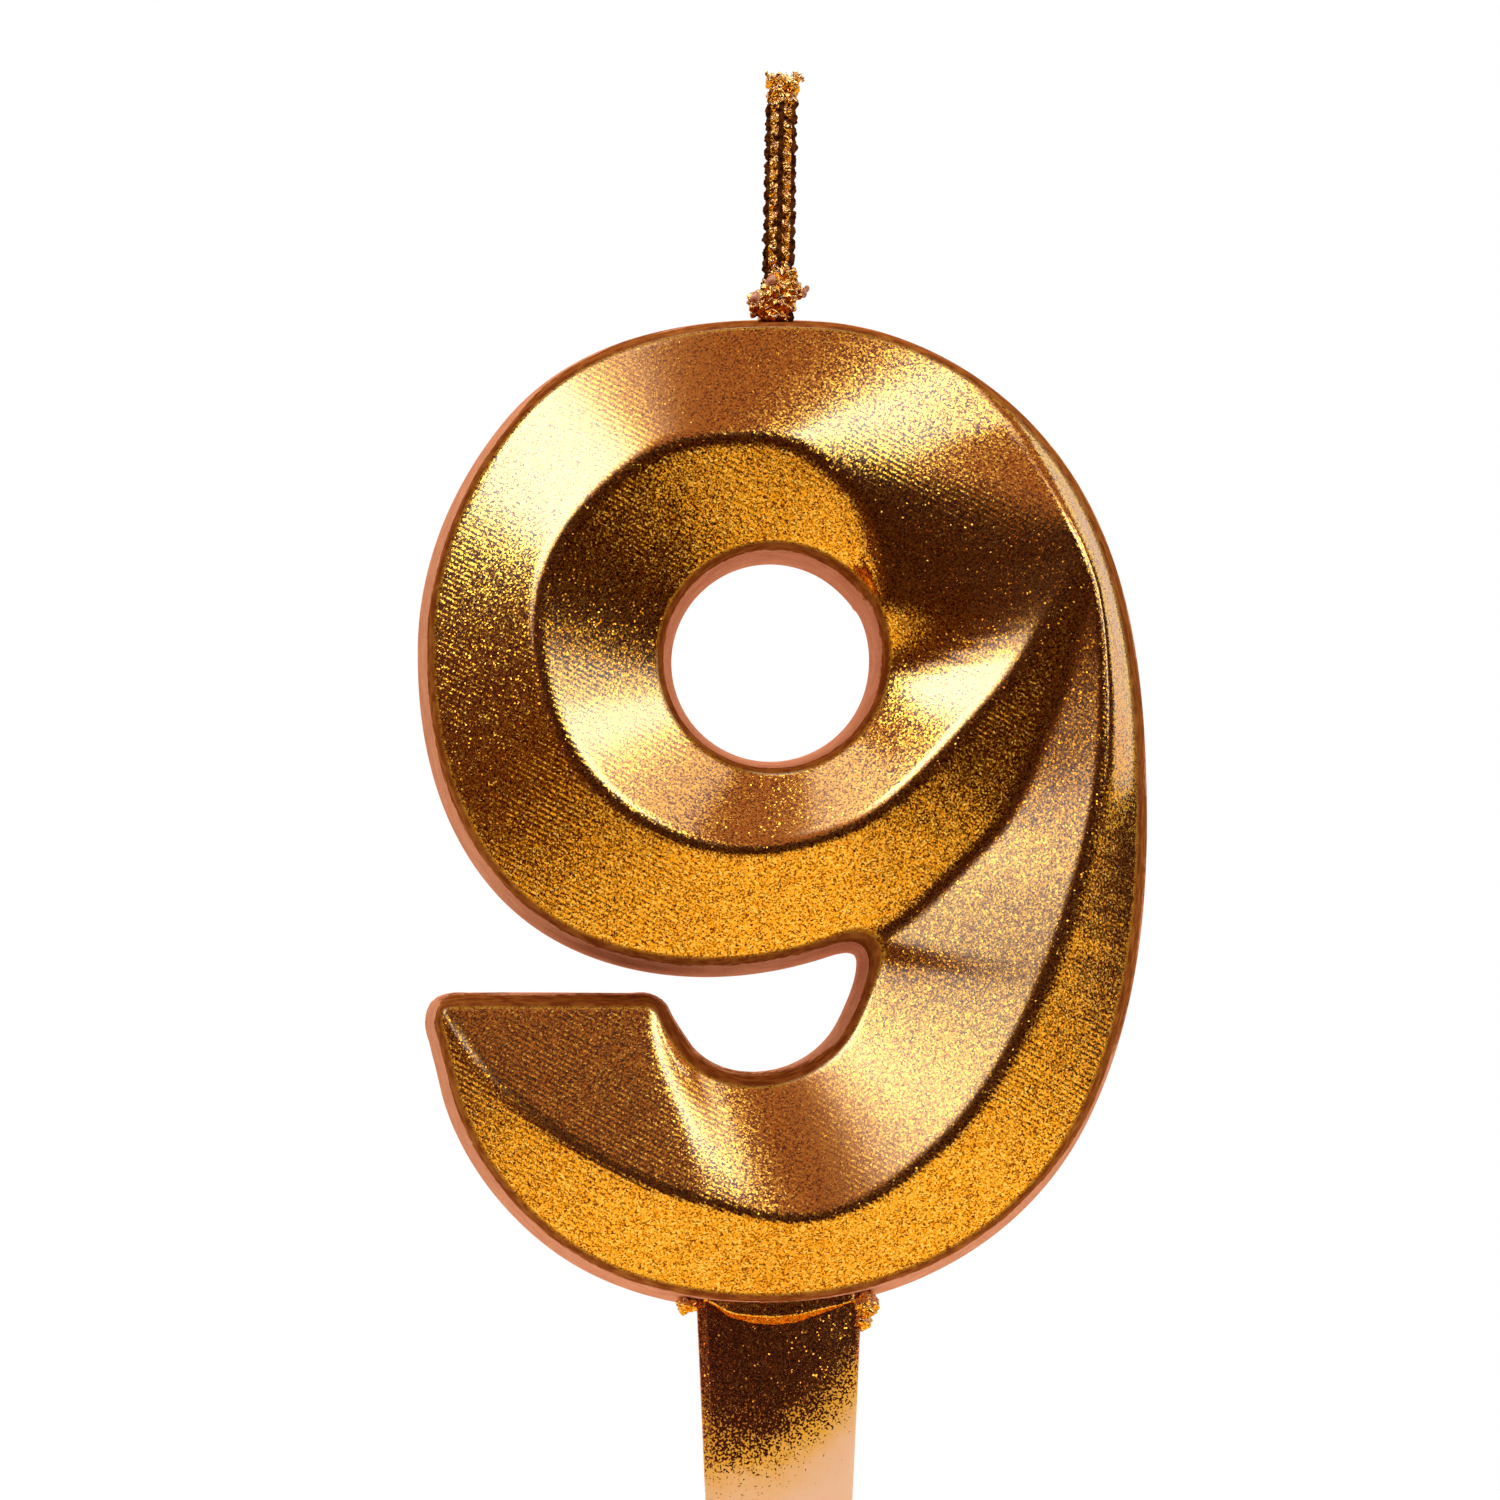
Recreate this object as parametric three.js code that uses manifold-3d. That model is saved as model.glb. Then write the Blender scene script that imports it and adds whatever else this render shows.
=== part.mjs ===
// A number candle: a cast wax nine with a ridged front, a braided wick and a pick that stands it in a cake.
// Millimetres, Z up. X runs to the right and Y away from the viewer. The origin is the tip of the pick.
import * as THREE from 'three';
import { mergeVertices } from 'three/addons/utils/BufferGeometryUtils.js';
import Module from 'manifold-3d';

const wasm = await Module();
wasm.setup();

// Cast numeral
const NUMERAL_HEIGHT = 70;
const WALL_DEPTH = 9; // from the flat back to the rim of the front
const RIDGE_HEIGHT = 3; // of the ridges above the rim
const WALL_DRAFT = 0.86; // how far the back outline stands outside the front one
const RIM_ROUNDING = 0.5;

// Pick
const PICK_SHOWN_LENGTH = 45.5; // from its tip to the foot of the numeral
const PICK_BURIED_LENGTH = 11;
const PICK_WIDTH = 11.5; // where it leaves the wax
const PICK_TAPERED_WIDTH = 8; // where the point starts
const PICK_TIP_WIDTH = 1.6;
const PICK_POINT_LENGTH = 8;
const PICK_THICKNESS = 2;
const PICK_TIP_THICKNESS = 1.2;
const PICK_LEFT_BEVEL = 0.7;
const PICK_RIGHT_BEVEL = 0.3;

// Wick
const WICK_FREE_LENGTH = 17.6;
const WICK_BURIED_LENGTH = 11;
const WICK_WIDTH = 2.45;
const WICK_THICKNESS = 1.3;
const WICK_OFFSET = -0.12; // of its foot, to the left
const WICK_LEAN = 1; // degrees to the right
const WICK_FLARE_WIDTH = 3.1; // of the cut end
const WICK_FLARE_LENGTH = 1.4;

// Wax that seals the wick and the pick
const BEAD_WIDTH = 4.5;
const BEAD_DEPTH = 3.7;
const BEAD_HEIGHT = 4.3;
const COLLAR_DEPTH = 5.2;
const COLLAR_SIDE = 1.2; // how far it reaches past the sides of the pick
const COLLAR_ROOM = 1.4; // above the foot of the numeral, before it is cut to the wax
const COLLAR_SAG = 1; // of its lower edge under the foot of the numeral
const COLLAR_TAB_DROP = 0.3; // of the tab on its left side
const COLLAR_LUMP_DROP = 1.7; // of the drip on its right side

const CLEARANCE = 0.3; // between pieces that seat in or on each other

const DRAWN_HEIGHT = 70; // the outlines below are drawn for this height, from the foot of the numeral
const SCALE = NUMERAL_HEIGHT / DRAWN_HEIGHT;
const COUNTER = { x: -0.5, z: 45.7, radius: 7.8 }; // round hole of the nine, at the front
const HOOK = { angle: 33, height: 1.5 }; // degrees round the hole, where the ridge of the bowl ends on its edge

// Outlines of the numeral. A knot is x, z, its heading in degrees and the number of steps to the next knot.
// The rim goes counterclockwise: over the bowl, round the notch, along the end of the tail and up its back.
const BOWL_RIM = [
  [11.9, 66.3, 151, 9],
  [3.2, 69.0, 176, 20],
  [-18.7, 62.1, 231, 16],
  [-24.5, 46.9, 269, 17],
  [-19.2, 30.0, 312, 15],
  [-5.9, 24.4, 358, 9],
  [3.1, 25.7, 378, 3],
];
const NOTCH_RIM = [
  [6.0, 25.7, 318, 2],
  [6.4, 24.2, 265, 4],
  [5.1, 20.3, 245, 8],
  [-2.6, 16.1, 174, 4],
  [-7.2, 19.0, 119, 2],
  [-8.2, 20.6, 114, 1],
];
const TERMINAL_RIM = [
  [-8.5, 21.2, 145, 1],
  [-9.2, 21.6, 180, 12],
  [-22.9, 21.6, 181, 1],
];
const TAIL_RIM = [
  [-23.7, 21.3, 225, 1],
  [-23.95, 20.6, 273, 2],
  [-23.2, 17.2, 280, 6],
  [-16.0, 5.5, 321, 8],
  [-2.5, 0.95, 357, 14],
  [21.0, 13.5, 63, 13],
  [25.2, 38.5, 92, 17],
  [19.0, 60.2, 128, 10],
];
// Ridge of the bowl, from the point where the ridges meet, clockwise round the hole and down to its edge
const BOWL_RIDGE = [
  [21.6, 53.1, -121, 8],
  [15.2, 43.3, -133, 7],
  [8.1, 36.1, -138, 13],
  [-1.5, 32.3, -177, 20],
  [-12.6, 36.6, 136, 18],
  [-17.0, 48.1, 90, 19],
];
const BOWL_RIDGE_FALL = [
  [-9.9, 59.3, 34, 21],
  [-1.0, 60.9, -4, 12],
  [4.8, 57.1, -45, 7],
];
const BOWL_RIDGE_END_HEADING = -85;
// Ridge of the tail: it rises out of the rim of the bowl and falls to the corner of the tail's end
const TAIL_RIDGE_START = { heading: -31, steps: 4 };
const TAIL_RIDGE_RISE = [
  [16.5, 61.8, -50, 12],
];
const TAIL_RIDGE = [
  [21.6, 53.1, -65, 7],
  [22.9, 44.0, -90, 5],
  [22.1, 34.7, -103, 9],
  [17.9, 21.7, -115, 8],
  [10.3, 10.7, -139, 6],
  [2.0, 6.3, -175, 6],
];
const TAIL_RIDGE_FALL = [
  [-5.6, 7.6, 166, 6],
  [-16.0, 12.7, 145, 8],
];
const TAIL_RIDGE_END_HEADING = 115;
// Valley between bowl and tail, from the same meeting point down to the notch
const VALLEY = [
  [21.6, 53.1, -104, 8],
  [18.2, 40.3, -114, 6],
  [14.0, 32.6, -138, 6],
];
const VALLEY_END_HEADING = -153;

const FRONT_Y = -WALL_DEPTH / 2; // plane of the rim
const FOOT_Z = PICK_SHOWN_LENGTH;

const radians = THREE.MathUtils.degToRad;
const ease = (share) => (1 + Math.cos(Math.PI * share)) / 2;

const WELD_DISTANCE = 1e-4;
const SHOULDER = 1 - Math.SQRT1_2; // share of a rounding's radius that is gone in the middle of its arc

// One cubic between two knots, with handles of the length that keeps a round stretch round
function bend(from, to) {
  const chord = Math.hypot(to.x - from.x, to.z - from.z);
  const turn = Math.atan2(Math.sin(to.heading - from.heading), Math.cos(to.heading - from.heading));
  const handle = (2 / 3) * chord / (1 + Math.cos(turn / 2));
  return new THREE.CubicBezierCurve(
    new THREE.Vector2(from.x, from.z),
    new THREE.Vector2(from.x + handle * Math.cos(from.heading), from.z + handle * Math.sin(from.heading)),
    new THREE.Vector2(to.x - handle * Math.cos(to.heading), to.z - handle * Math.sin(to.heading)),
    new THREE.Vector2(to.x, to.z),
  );
}

function knot([x, z, heading, steps]) {
  return { x: x * SCALE, z: z * SCALE, heading: radians(heading), steps };
}

// Points along a row of knots up to its last knot. Each keeps the direction that lies right of its heading.
function trace(knots) {
  const points = [];
  for (let i = 0; i + 1 < knots.length; i += 1) {
    const curve = bend(knots[i], knots[i + 1]);
    for (let step = 0; step < knots[i].steps; step += 1) {
      const at = curve.getPoint(step / knots[i].steps);
      const along = curve.getTangent(step / knots[i].steps);
      points.push({ x: at.x, z: at.y, rightX: along.y, rightZ: -along.x });
    }
  }
  const last = knots.at(-1);
  points.push({ x: last.x, z: last.z, rightX: Math.sin(last.heading), rightZ: -Math.cos(last.heading) });
  return points;
}

const knotAt = (point, heading, steps = 0) => ({ x: point.x, z: point.z, heading: radians(heading), steps });

// The outline moved outward, at a height above the plane of the rim
function moved(outline, outward, height) {
  return outline.map((p) => raised({ x: p.x + p.rightX * outward, z: p.z + p.rightZ * outward }, height));
}

function raised(point, height) {
  return new THREE.Vector3(point.x, FRONT_Y - height, FOOT_Z + point.z);
}

// Faces between two rows of as many points, seen from the side where the second row lies to the left
function skin(rowA, rowB) {
  const faces = [];
  for (let i = 0; i + 1 < rowA.length; i += 1) {
    const [a, b, c, d] = [rowA[i], rowA[i + 1], rowB[i + 1], rowB[i]];
    if (a.distanceTo(c) < b.distanceTo(d)) {
      faces.push([a, b, c], [a, c, d]);
    } else {
      faces.push([a, b, d], [b, c, d]);
    }
  }
  return faces;
}

const skins = (rows) => rows.slice(1).flatMap((row, i) => skin(rows[i], row));

const fan = (points) => points.slice(2).map((point, i) => [points[0], points[i + 1], point]);

// A closed mesh from faces whose corners coincide, without the faces that have no area
function weld(faces) {
  const geometry = new THREE.BufferGeometry().setFromPoints(faces.flat());
  const merged = mergeVertices(geometry, WELD_DISTANCE);
  const kept = [];
  for (let i = 0; i < merged.index.count; i += 3) {
    const corners = [0, 1, 2].map((k) => merged.index.getX(i + k));
    if (new Set(corners).size === 3) {
      kept.push(...corners);
    }
  }
  merged.setIndex(kept);
  return merged;
}

function toSolid(geometry) {
  return new wasm.Manifold(new wasm.Mesh({
    numProp: 3,
    vertProperties: new Float32Array(geometry.attributes.position.array),
    triVerts: new Uint32Array(geometry.index.array),
  }));
}

function toGeometry(solid) {
  const mesh = solid.getMesh();
  const geometry = new THREE.BufferGeometry();
  geometry.setAttribute('position', new THREE.BufferAttribute(mesh.vertProperties, 3));
  geometry.setIndex(new THREE.BufferAttribute(mesh.triVerts, 1));
  return geometry;
}

// Numeral

// One station of the hole's wall, from the edge of the front face at a height down to the back
function counterColumn(angle, height) {
  const radial = (radius, level) => raised({
    x: COUNTER.x * SCALE + radius * Math.cos(angle),
    z: COUNTER.z * SCALE + radius * Math.sin(angle),
  }, level);
  const lean = WALL_DRAFT * height / WALL_DEPTH;
  const radius = COUNTER.radius * SCALE;
  return [
    radial(radius - WALL_DRAFT, -WALL_DEPTH),
    radial(radius, -RIM_ROUNDING),
    radial(radius + lean, height - RIM_ROUNDING),
    radial(radius + lean + SHOULDER * RIM_ROUNDING, height - SHOULDER * RIM_ROUNDING),
    radial(radius + lean + RIM_ROUNDING, height),
  ];
}

// The part of the hole's edge that comes down clockwise from the hook to where the ridge starts to face it
function counterHookEdge(end, steps) {
  const start = radians(HOOK.angle);
  return Array.from({ length: steps + 1 }, (_, i) => {
    const share = i / steps;
    return counterColumn(start + (end - start) * share, HOOK.height * ease(share));
  });
}

// The direction in which a point lies from the middle of the hole
function counterBearing(point) {
  const centre = raised({ x: COUNTER.x * SCALE, z: COUNTER.z * SCALE }, 0);
  return Math.atan2(point.z - centre.z, point.x - centre.x);
}

// The flat back, between the outline and the hole
function backFaces(outline, hole) {
  const flat = (points) => points.map((p) => new THREE.Vector2(p.x, p.z));
  const corners = [...outline, ...hole];
  return THREE.ShapeUtils.triangulateShape(flat(outline), [flat(hole)]).map((indices) => {
    const [a, b, c] = indices.map((i) => corners[i]);
    const turn = (b.x - a.x) * (c.z - a.z) - (b.z - a.z) * (c.x - a.x);
    return turn < 0 ? [a, b, c] : [a, c, b];
  });
}

function numeralFaces() {
  const count = (rows) => rows.reduce((sum, row) => sum + row[3], 0);
  const rimKnots = [...BOWL_RIM, ...NOTCH_RIM, ...TERMINAL_RIM, ...TAIL_RIM].map(knot);
  const openRim = trace([...rimKnots, rimKnots[0]]).slice(0, -1);
  const rim = [...openRim, openRim[0]];
  const notch = count(BOWL_RIM);
  const corner = notch + count(NOTCH_RIM) + count(TERMINAL_RIM);
  const back = moved(rim, WALL_DRAFT, -WALL_DEPTH);
  const face = moved(rim, -RIM_ROUNDING, 0);
  const drawn = (point) => ({ x: point.x, z: point.z - FOOT_Z });

  const rise = trace([
    knotAt(drawn(face[0]), TAIL_RIDGE_START.heading, TAIL_RIDGE_START.steps),
    ...TAIL_RIDGE_RISE.map(knot),
    knot(TAIL_RIDGE[0]),
  ]).map((p, i, all) => raised(p, RIDGE_HEIGHT * (1 - ease(i / (all.length - 1)))));

  // The ridge of the bowl stays level round the hole, then falls to the hook on the hole's edge
  const hook = counterColumn(radians(HOOK.angle), HOOK.height);
  const level = count(BOWL_RIDGE);
  const bowlRidge = trace([
    ...[...BOWL_RIDGE, ...BOWL_RIDGE_FALL].map(knot),
    knotAt(drawn(hook.at(-1)), BOWL_RIDGE_END_HEADING),
  ]).map((p, i, all) => {
    const fallen = Math.max(0, i - level) / (all.length - 1 - level);
    return raised(p, RIDGE_HEIGHT - (RIDGE_HEIGHT - HOOK.height) * fallen ** 3);
  });

  // The ridge of the tail stays level, then falls with the flat end of the tail
  const crest = trace([...TAIL_RIDGE, TAIL_RIDGE_FALL[0]].map(knot)).map((p) => raised(p, RIDGE_HEIGHT));
  const endCorner = drawn(face[corner]);
  const fallLength = endCorner.z - knot(TAIL_RIDGE_FALL[0]).z;
  const fall = trace([...TAIL_RIDGE_FALL.map(knot), knotAt(endCorner, TAIL_RIDGE_END_HEADING)])
    .map((p) => raised(p, RIDGE_HEIGHT * (endCorner.z - p.z) / fallLength));
  const tailRidge = [...crest, ...fall.slice(1)];

  // The valley climbs from the notch to the point where the ridges meet
  const valley = trace([...VALLEY.map(knot), knotAt(drawn(face[notch]), VALLEY_END_HEADING)])
    .map((p, i, all) => raised(p, RIDGE_HEIGHT * (1 - i / (all.length - 1))));

  // From the meeting point to its second knot, the ridge bounds only the outer faces
  const apart = BOWL_RIDGE[0].at(-1);
  const facing = bowlRidge.slice(apart);
  const lowEdge = facing.map((p) => counterColumn(counterBearing(p), 0));
  const hookEdge = counterHookEdge(counterBearing(facing[0]), apart);
  const row = (columns, level) => columns.map((column) => column.at(level));
  const onFace = (columns) => row(columns, -1);
  const wall = (columns) => skins(columns[0].map((_, level) => row(columns, level)));
  const stepAtHook = fan([lowEdge.at(-1).at(-2), ...hookEdge[0].slice(1), lowEdge.at(-1).at(-1)]);
  const innerEdgeOfBand = [...bowlRidge, ...onFace(hookEdge).slice(1)];
  const outerEdgeOfBand = [
    ...valley,
    ...face.slice(0, notch).reverse(),
    ...rise.slice(1),
    ...bowlRidge.slice(1, apart + 1),
  ];
  const shoulder = moved(rim, -SHOULDER * RIM_ROUNDING, -SHOULDER * RIM_ROUNDING);

  return [
    ...skin(innerEdgeOfBand, outerEdgeOfBand),
    ...skin(onFace(lowEdge), facing),
    ...skin([...valley, ...face.slice(notch + 1, corner + 1)], tailRidge),
    ...skin([...rise, ...tailRidge.slice(1)], face.slice(corner).reverse()),
    ...skins([back, moved(rim, 0, -RIM_ROUNDING), shoulder, face]),
    ...wall(lowEdge),
    ...wall(hookEdge),
    ...stepAtHook,
    ...backFaces(back.slice(0, -1), row([...lowEdge.slice(0, -1), ...hookEdge.slice(0, -1)], 0)),
  ];
}

// A solid through rings of as many points each, from the lowest ring to the highest
function loft(rings) {
  const closed = rings.map((ring) => [...ring, ring[0]]);
  return weld([...skins(closed), ...fan([...rings[0]].reverse()), ...fan(rings.at(-1))]);
}

function ovalRing(x, y, z, halfWidth, halfDepth) {
  const points = 16;
  const fullness = 0.8; // 1 is an ellipse, less is squarer
  const soften = (value) => Math.sign(value) * Math.abs(value) ** fullness;
  return Array.from({ length: points }, (_, i) => {
    const angle = (2 * Math.PI * (i + 0.5)) / points;
    return new THREE.Vector3(
      x + halfWidth * soften(Math.cos(angle)),
      y + halfDepth * soften(Math.sin(angle)),
      z,
    );
  });
}

// Wick, upright in the wax and leaning outside it, with a flared cut end
function wickShape(top, grown) {
  const lean = Math.tan(radians(WICK_LEAN));
  const flareStart = WICK_FREE_LENGTH - WICK_FLARE_LENGTH;
  const rings = [
    { height: -WICK_BURIED_LENGTH - grown, width: WICK_WIDTH },
    { height: 0, width: WICK_WIDTH },
    { height: flareStart / 2, width: WICK_WIDTH },
    { height: flareStart, width: WICK_WIDTH },
    { height: WICK_FREE_LENGTH, width: WICK_FLARE_WIDTH },
  ];
  return loft(rings.map(({ height, width }) => ovalRing(
    WICK_OFFSET + lean * Math.max(0, height),
    0,
    top + height,
    width / 2 + grown,
    WICK_THICKNESS / 2 + grown,
  )));
}

// Lump of wax that seals the wick, wider low down
function beadShape(top) {
  const profile = [
    { height: -0.3, girth: 0.72 },
    { height: 0.15, girth: 0.8 },
    { height: 0.42, girth: 1 },
    { height: 0.7, girth: 0.97 },
    { height: 1, girth: 0.84 },
  ];
  return loft(profile.map(({ height, girth }) => ovalRing(
    0,
    0,
    top + height * BEAD_HEIGHT,
    girth * BEAD_WIDTH / 2,
    girth * BEAD_DEPTH / 2,
  )));
}

// One section of the pick, with a wide bevel on the left of its front and narrow ones elsewhere
function pickRing(z, width, thickness, grown) {
  const [left, right] = [-width / 2 - grown, width / 2 + grown];
  const [front, back] = [-thickness / 2 - grown, thickness / 2 + grown];
  const corner = PICK_RIGHT_BEVEL * Math.min(1, thickness / PICK_THICKNESS);
  const wide = PICK_LEFT_BEVEL * Math.min(1, width / PICK_WIDTH);
  return [
    [left + wide, front],
    [right - corner, front],
    [right, front + corner],
    [right, back - corner],
    [right - corner, back],
    [left + corner, back],
    [left, back - corner],
    [left, front + corner],
  ].map(([x, y]) => new THREE.Vector3(x, y, z));
}

function pickShape(grown) {
  return loft([
    pickRing(0, PICK_TIP_WIDTH, PICK_TIP_THICKNESS, grown),
    pickRing(PICK_POINT_LENGTH, PICK_TAPERED_WIDTH, PICK_THICKNESS, grown),
    pickRing(FOOT_Z, PICK_WIDTH, PICK_THICKNESS, grown),
    pickRing(FOOT_Z + PICK_BURIED_LENGTH + grown, PICK_WIDTH, PICK_THICKNESS, grown),
  ]);
}

// Wax squeezed out round the pick: a tab on the left, a sagging edge in front and a drip on the right
function collarShape() {
  const side = PICK_WIDTH / 2 + CLEARANCE;
  const end = side + COLLAR_SIDE;
  const edge = COLLAR_SAG / 3;
  const outline = new THREE.Shape();
  outline.moveTo(-end, COLLAR_ROOM);
  outline.lineTo(-end, -COLLAR_TAB_DROP);
  outline.lineTo(-side, -COLLAR_TAB_DROP);
  outline.lineTo(-side + COLLAR_SIDE, -edge);
  outline.quadraticCurveTo(0, edge - 2 * COLLAR_SAG, side - COLLAR_SIDE, -edge);
  outline.lineTo(side - COLLAR_SIDE / 2, -COLLAR_LUMP_DROP);
  outline.lineTo(end - COLLAR_SIDE / 4, -0.75 * COLLAR_LUMP_DROP);
  outline.lineTo(end, -COLLAR_TAB_DROP);
  outline.lineTo(end, COLLAR_ROOM);
  const block = new THREE.ExtrudeGeometry(outline, {
    depth: COLLAR_DEPTH,
    bevelEnabled: false,
    curveSegments: 12,
  });
  block.deleteAttribute('normal');
  block.deleteAttribute('uv');
  block.rotateX(Math.PI / 2);
  block.translate(0, COLLAR_DEPTH / 2, FOOT_Z);
  return mergeVertices(block, WELD_DISTANCE);
}

function piece(name, geometry, look) {
  const mesh = new THREE.Mesh(geometry, new THREE.MeshStandardMaterial({ flatShading: true, ...look }));
  mesh.name = name;
  return mesh;
}

function assemble() {
  const plainNumeral = weld(numeralFaces());
  plainNumeral.computeBoundingBox();
  const wickTop = plainNumeral.boundingBox.max.z - WALL_DRAFT / 2;

  const uncut = toSolid(plainNumeral);
  const pickRoom = toSolid(pickShape(CLEARANCE));
  const wickRoom = toSolid(wickShape(wickTop, CLEARANCE));
  const numeral = uncut.subtract(pickRoom).subtract(wickRoom);
  const bead = toSolid(beadShape(wickTop)).subtract(wickRoom).subtract(uncut.translate([0, 0, CLEARANCE]));
  const collar = toSolid(collarShape()).subtract(pickRoom).subtract(uncut.translate([0, 0, -CLEARANCE]));

  const goldPaint = { color: 0xd9962e, roughness: 0.35, metalness: 1 };
  const candle = new THREE.Group();
  candle.add(
    piece('numeral_body', toGeometry(numeral), goldPaint),
    piece('wick', wickShape(wickTop, 0), { color: 0xa8661c, roughness: 0.6, metalness: 0.5 }),
    piece('wick_bead', toGeometry(bead), { color: 0xc98a30, roughness: 0.45, metalness: 0.8 }),
    piece('pick', pickShape(0), { color: 0xf6c8a4, roughness: 0.4, metalness: 0 }),
    piece('pick_collar', toGeometry(collar), { color: 0x8a4a12, roughness: 0.4, metalness: 0.8 }),
  );
  return candle;
}

export default assemble();
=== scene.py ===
"""A number candle: a cast nine in gold paint, its braided wick, and the pick that stands it in a cake."""
from __future__ import annotations

import logging
import math
from collections.abc import Callable
from dataclasses import dataclass, field, replace
from enum import Enum
from typing import Union

import bmesh
import bpy
import numpy as np
from bmesh.types import BMesh, BMVert
from bpy.types import ID, Material, Mesh, Node, NodeSocket, NodeTree, Object
from mathutils import Matrix, Quaternion, Vector, noise
from mathutils.bvhtree import BVHTree
from mathutils.geometry import delaunay_2d_cdt
from mathutils.kdtree import KDTree


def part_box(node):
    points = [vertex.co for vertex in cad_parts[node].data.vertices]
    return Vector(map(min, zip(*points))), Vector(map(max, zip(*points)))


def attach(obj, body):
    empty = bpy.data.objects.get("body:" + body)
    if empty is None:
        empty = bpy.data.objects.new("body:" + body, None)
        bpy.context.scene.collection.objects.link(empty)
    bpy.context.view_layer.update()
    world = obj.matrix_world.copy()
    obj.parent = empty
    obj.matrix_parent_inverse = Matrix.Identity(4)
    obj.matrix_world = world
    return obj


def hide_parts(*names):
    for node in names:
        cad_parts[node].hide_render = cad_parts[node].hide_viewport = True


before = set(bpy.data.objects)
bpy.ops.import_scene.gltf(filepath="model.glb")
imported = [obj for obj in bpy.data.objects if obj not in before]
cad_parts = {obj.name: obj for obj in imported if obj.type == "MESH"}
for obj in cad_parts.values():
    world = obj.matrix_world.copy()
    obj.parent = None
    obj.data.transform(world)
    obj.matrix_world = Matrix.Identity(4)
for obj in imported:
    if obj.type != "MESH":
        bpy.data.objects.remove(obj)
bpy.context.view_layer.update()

log = logging.getLogger("number_candle")

MM = 0.001
NEAR = 2e-6
SAME_PLACE = 1e-7
TURN = 2 * math.pi
AWAY = Vector((0, 1, 0))
HALVES = (0.5, 0.5, 0.5)
SKIN_CELL = 0.07
SHADER = "ShaderNodeTree"
GEOMETRY = "GeometryNodeTree"
NUMBER = "NodeSocketFloat"
VECTOR = "NodeSocketVector"
SOLID = "NodeSocketGeometry"
BODY = "root"

Array = np.ndarray
Colour = tuple[float, float, float, float]
Point = tuple[float, float, float]
Span = tuple[float, float]
Value = Union[float, tuple, "Wire"]


class Side(Enum):
    """A side of the pick, and its sign along Y."""

    FRONT = -1
    BACK = 1


# Building nodes


def node_operator(operation: str, turned: bool = False) -> Callable[[Wire, Value], Wire]:
    """Makes an operator that adds a Math node.

    Args:
        operation: Blender's name of the operation.
        turned: Whether the operands go in the other way round.

    Returns:
        The operator, for a wire and another value.
    """
    def apply(wire: Wire, other: Value) -> Wire:
        """Adds the node and returns its output."""
        return wire.nodes.math(operation, *((other, wire) if turned else (wire, other)))

    return apply


class Wire:
    """The output of a node. Each sum with it adds a Math node to the same tree."""

    __add__ = node_operator("ADD")
    __sub__ = node_operator("SUBTRACT")
    __rsub__ = node_operator("SUBTRACT", turned=True)
    __mul__ = node_operator("MULTIPLY")
    __truediv__ = node_operator("DIVIDE")
    __rtruediv__ = node_operator("DIVIDE", turned=True)

    def __init__(self, nodes: Nodes, socket: NodeSocket) -> None:
        """Takes the builder of the tree and the output socket."""
        self.nodes = nodes
        self.socket = socket


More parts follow.
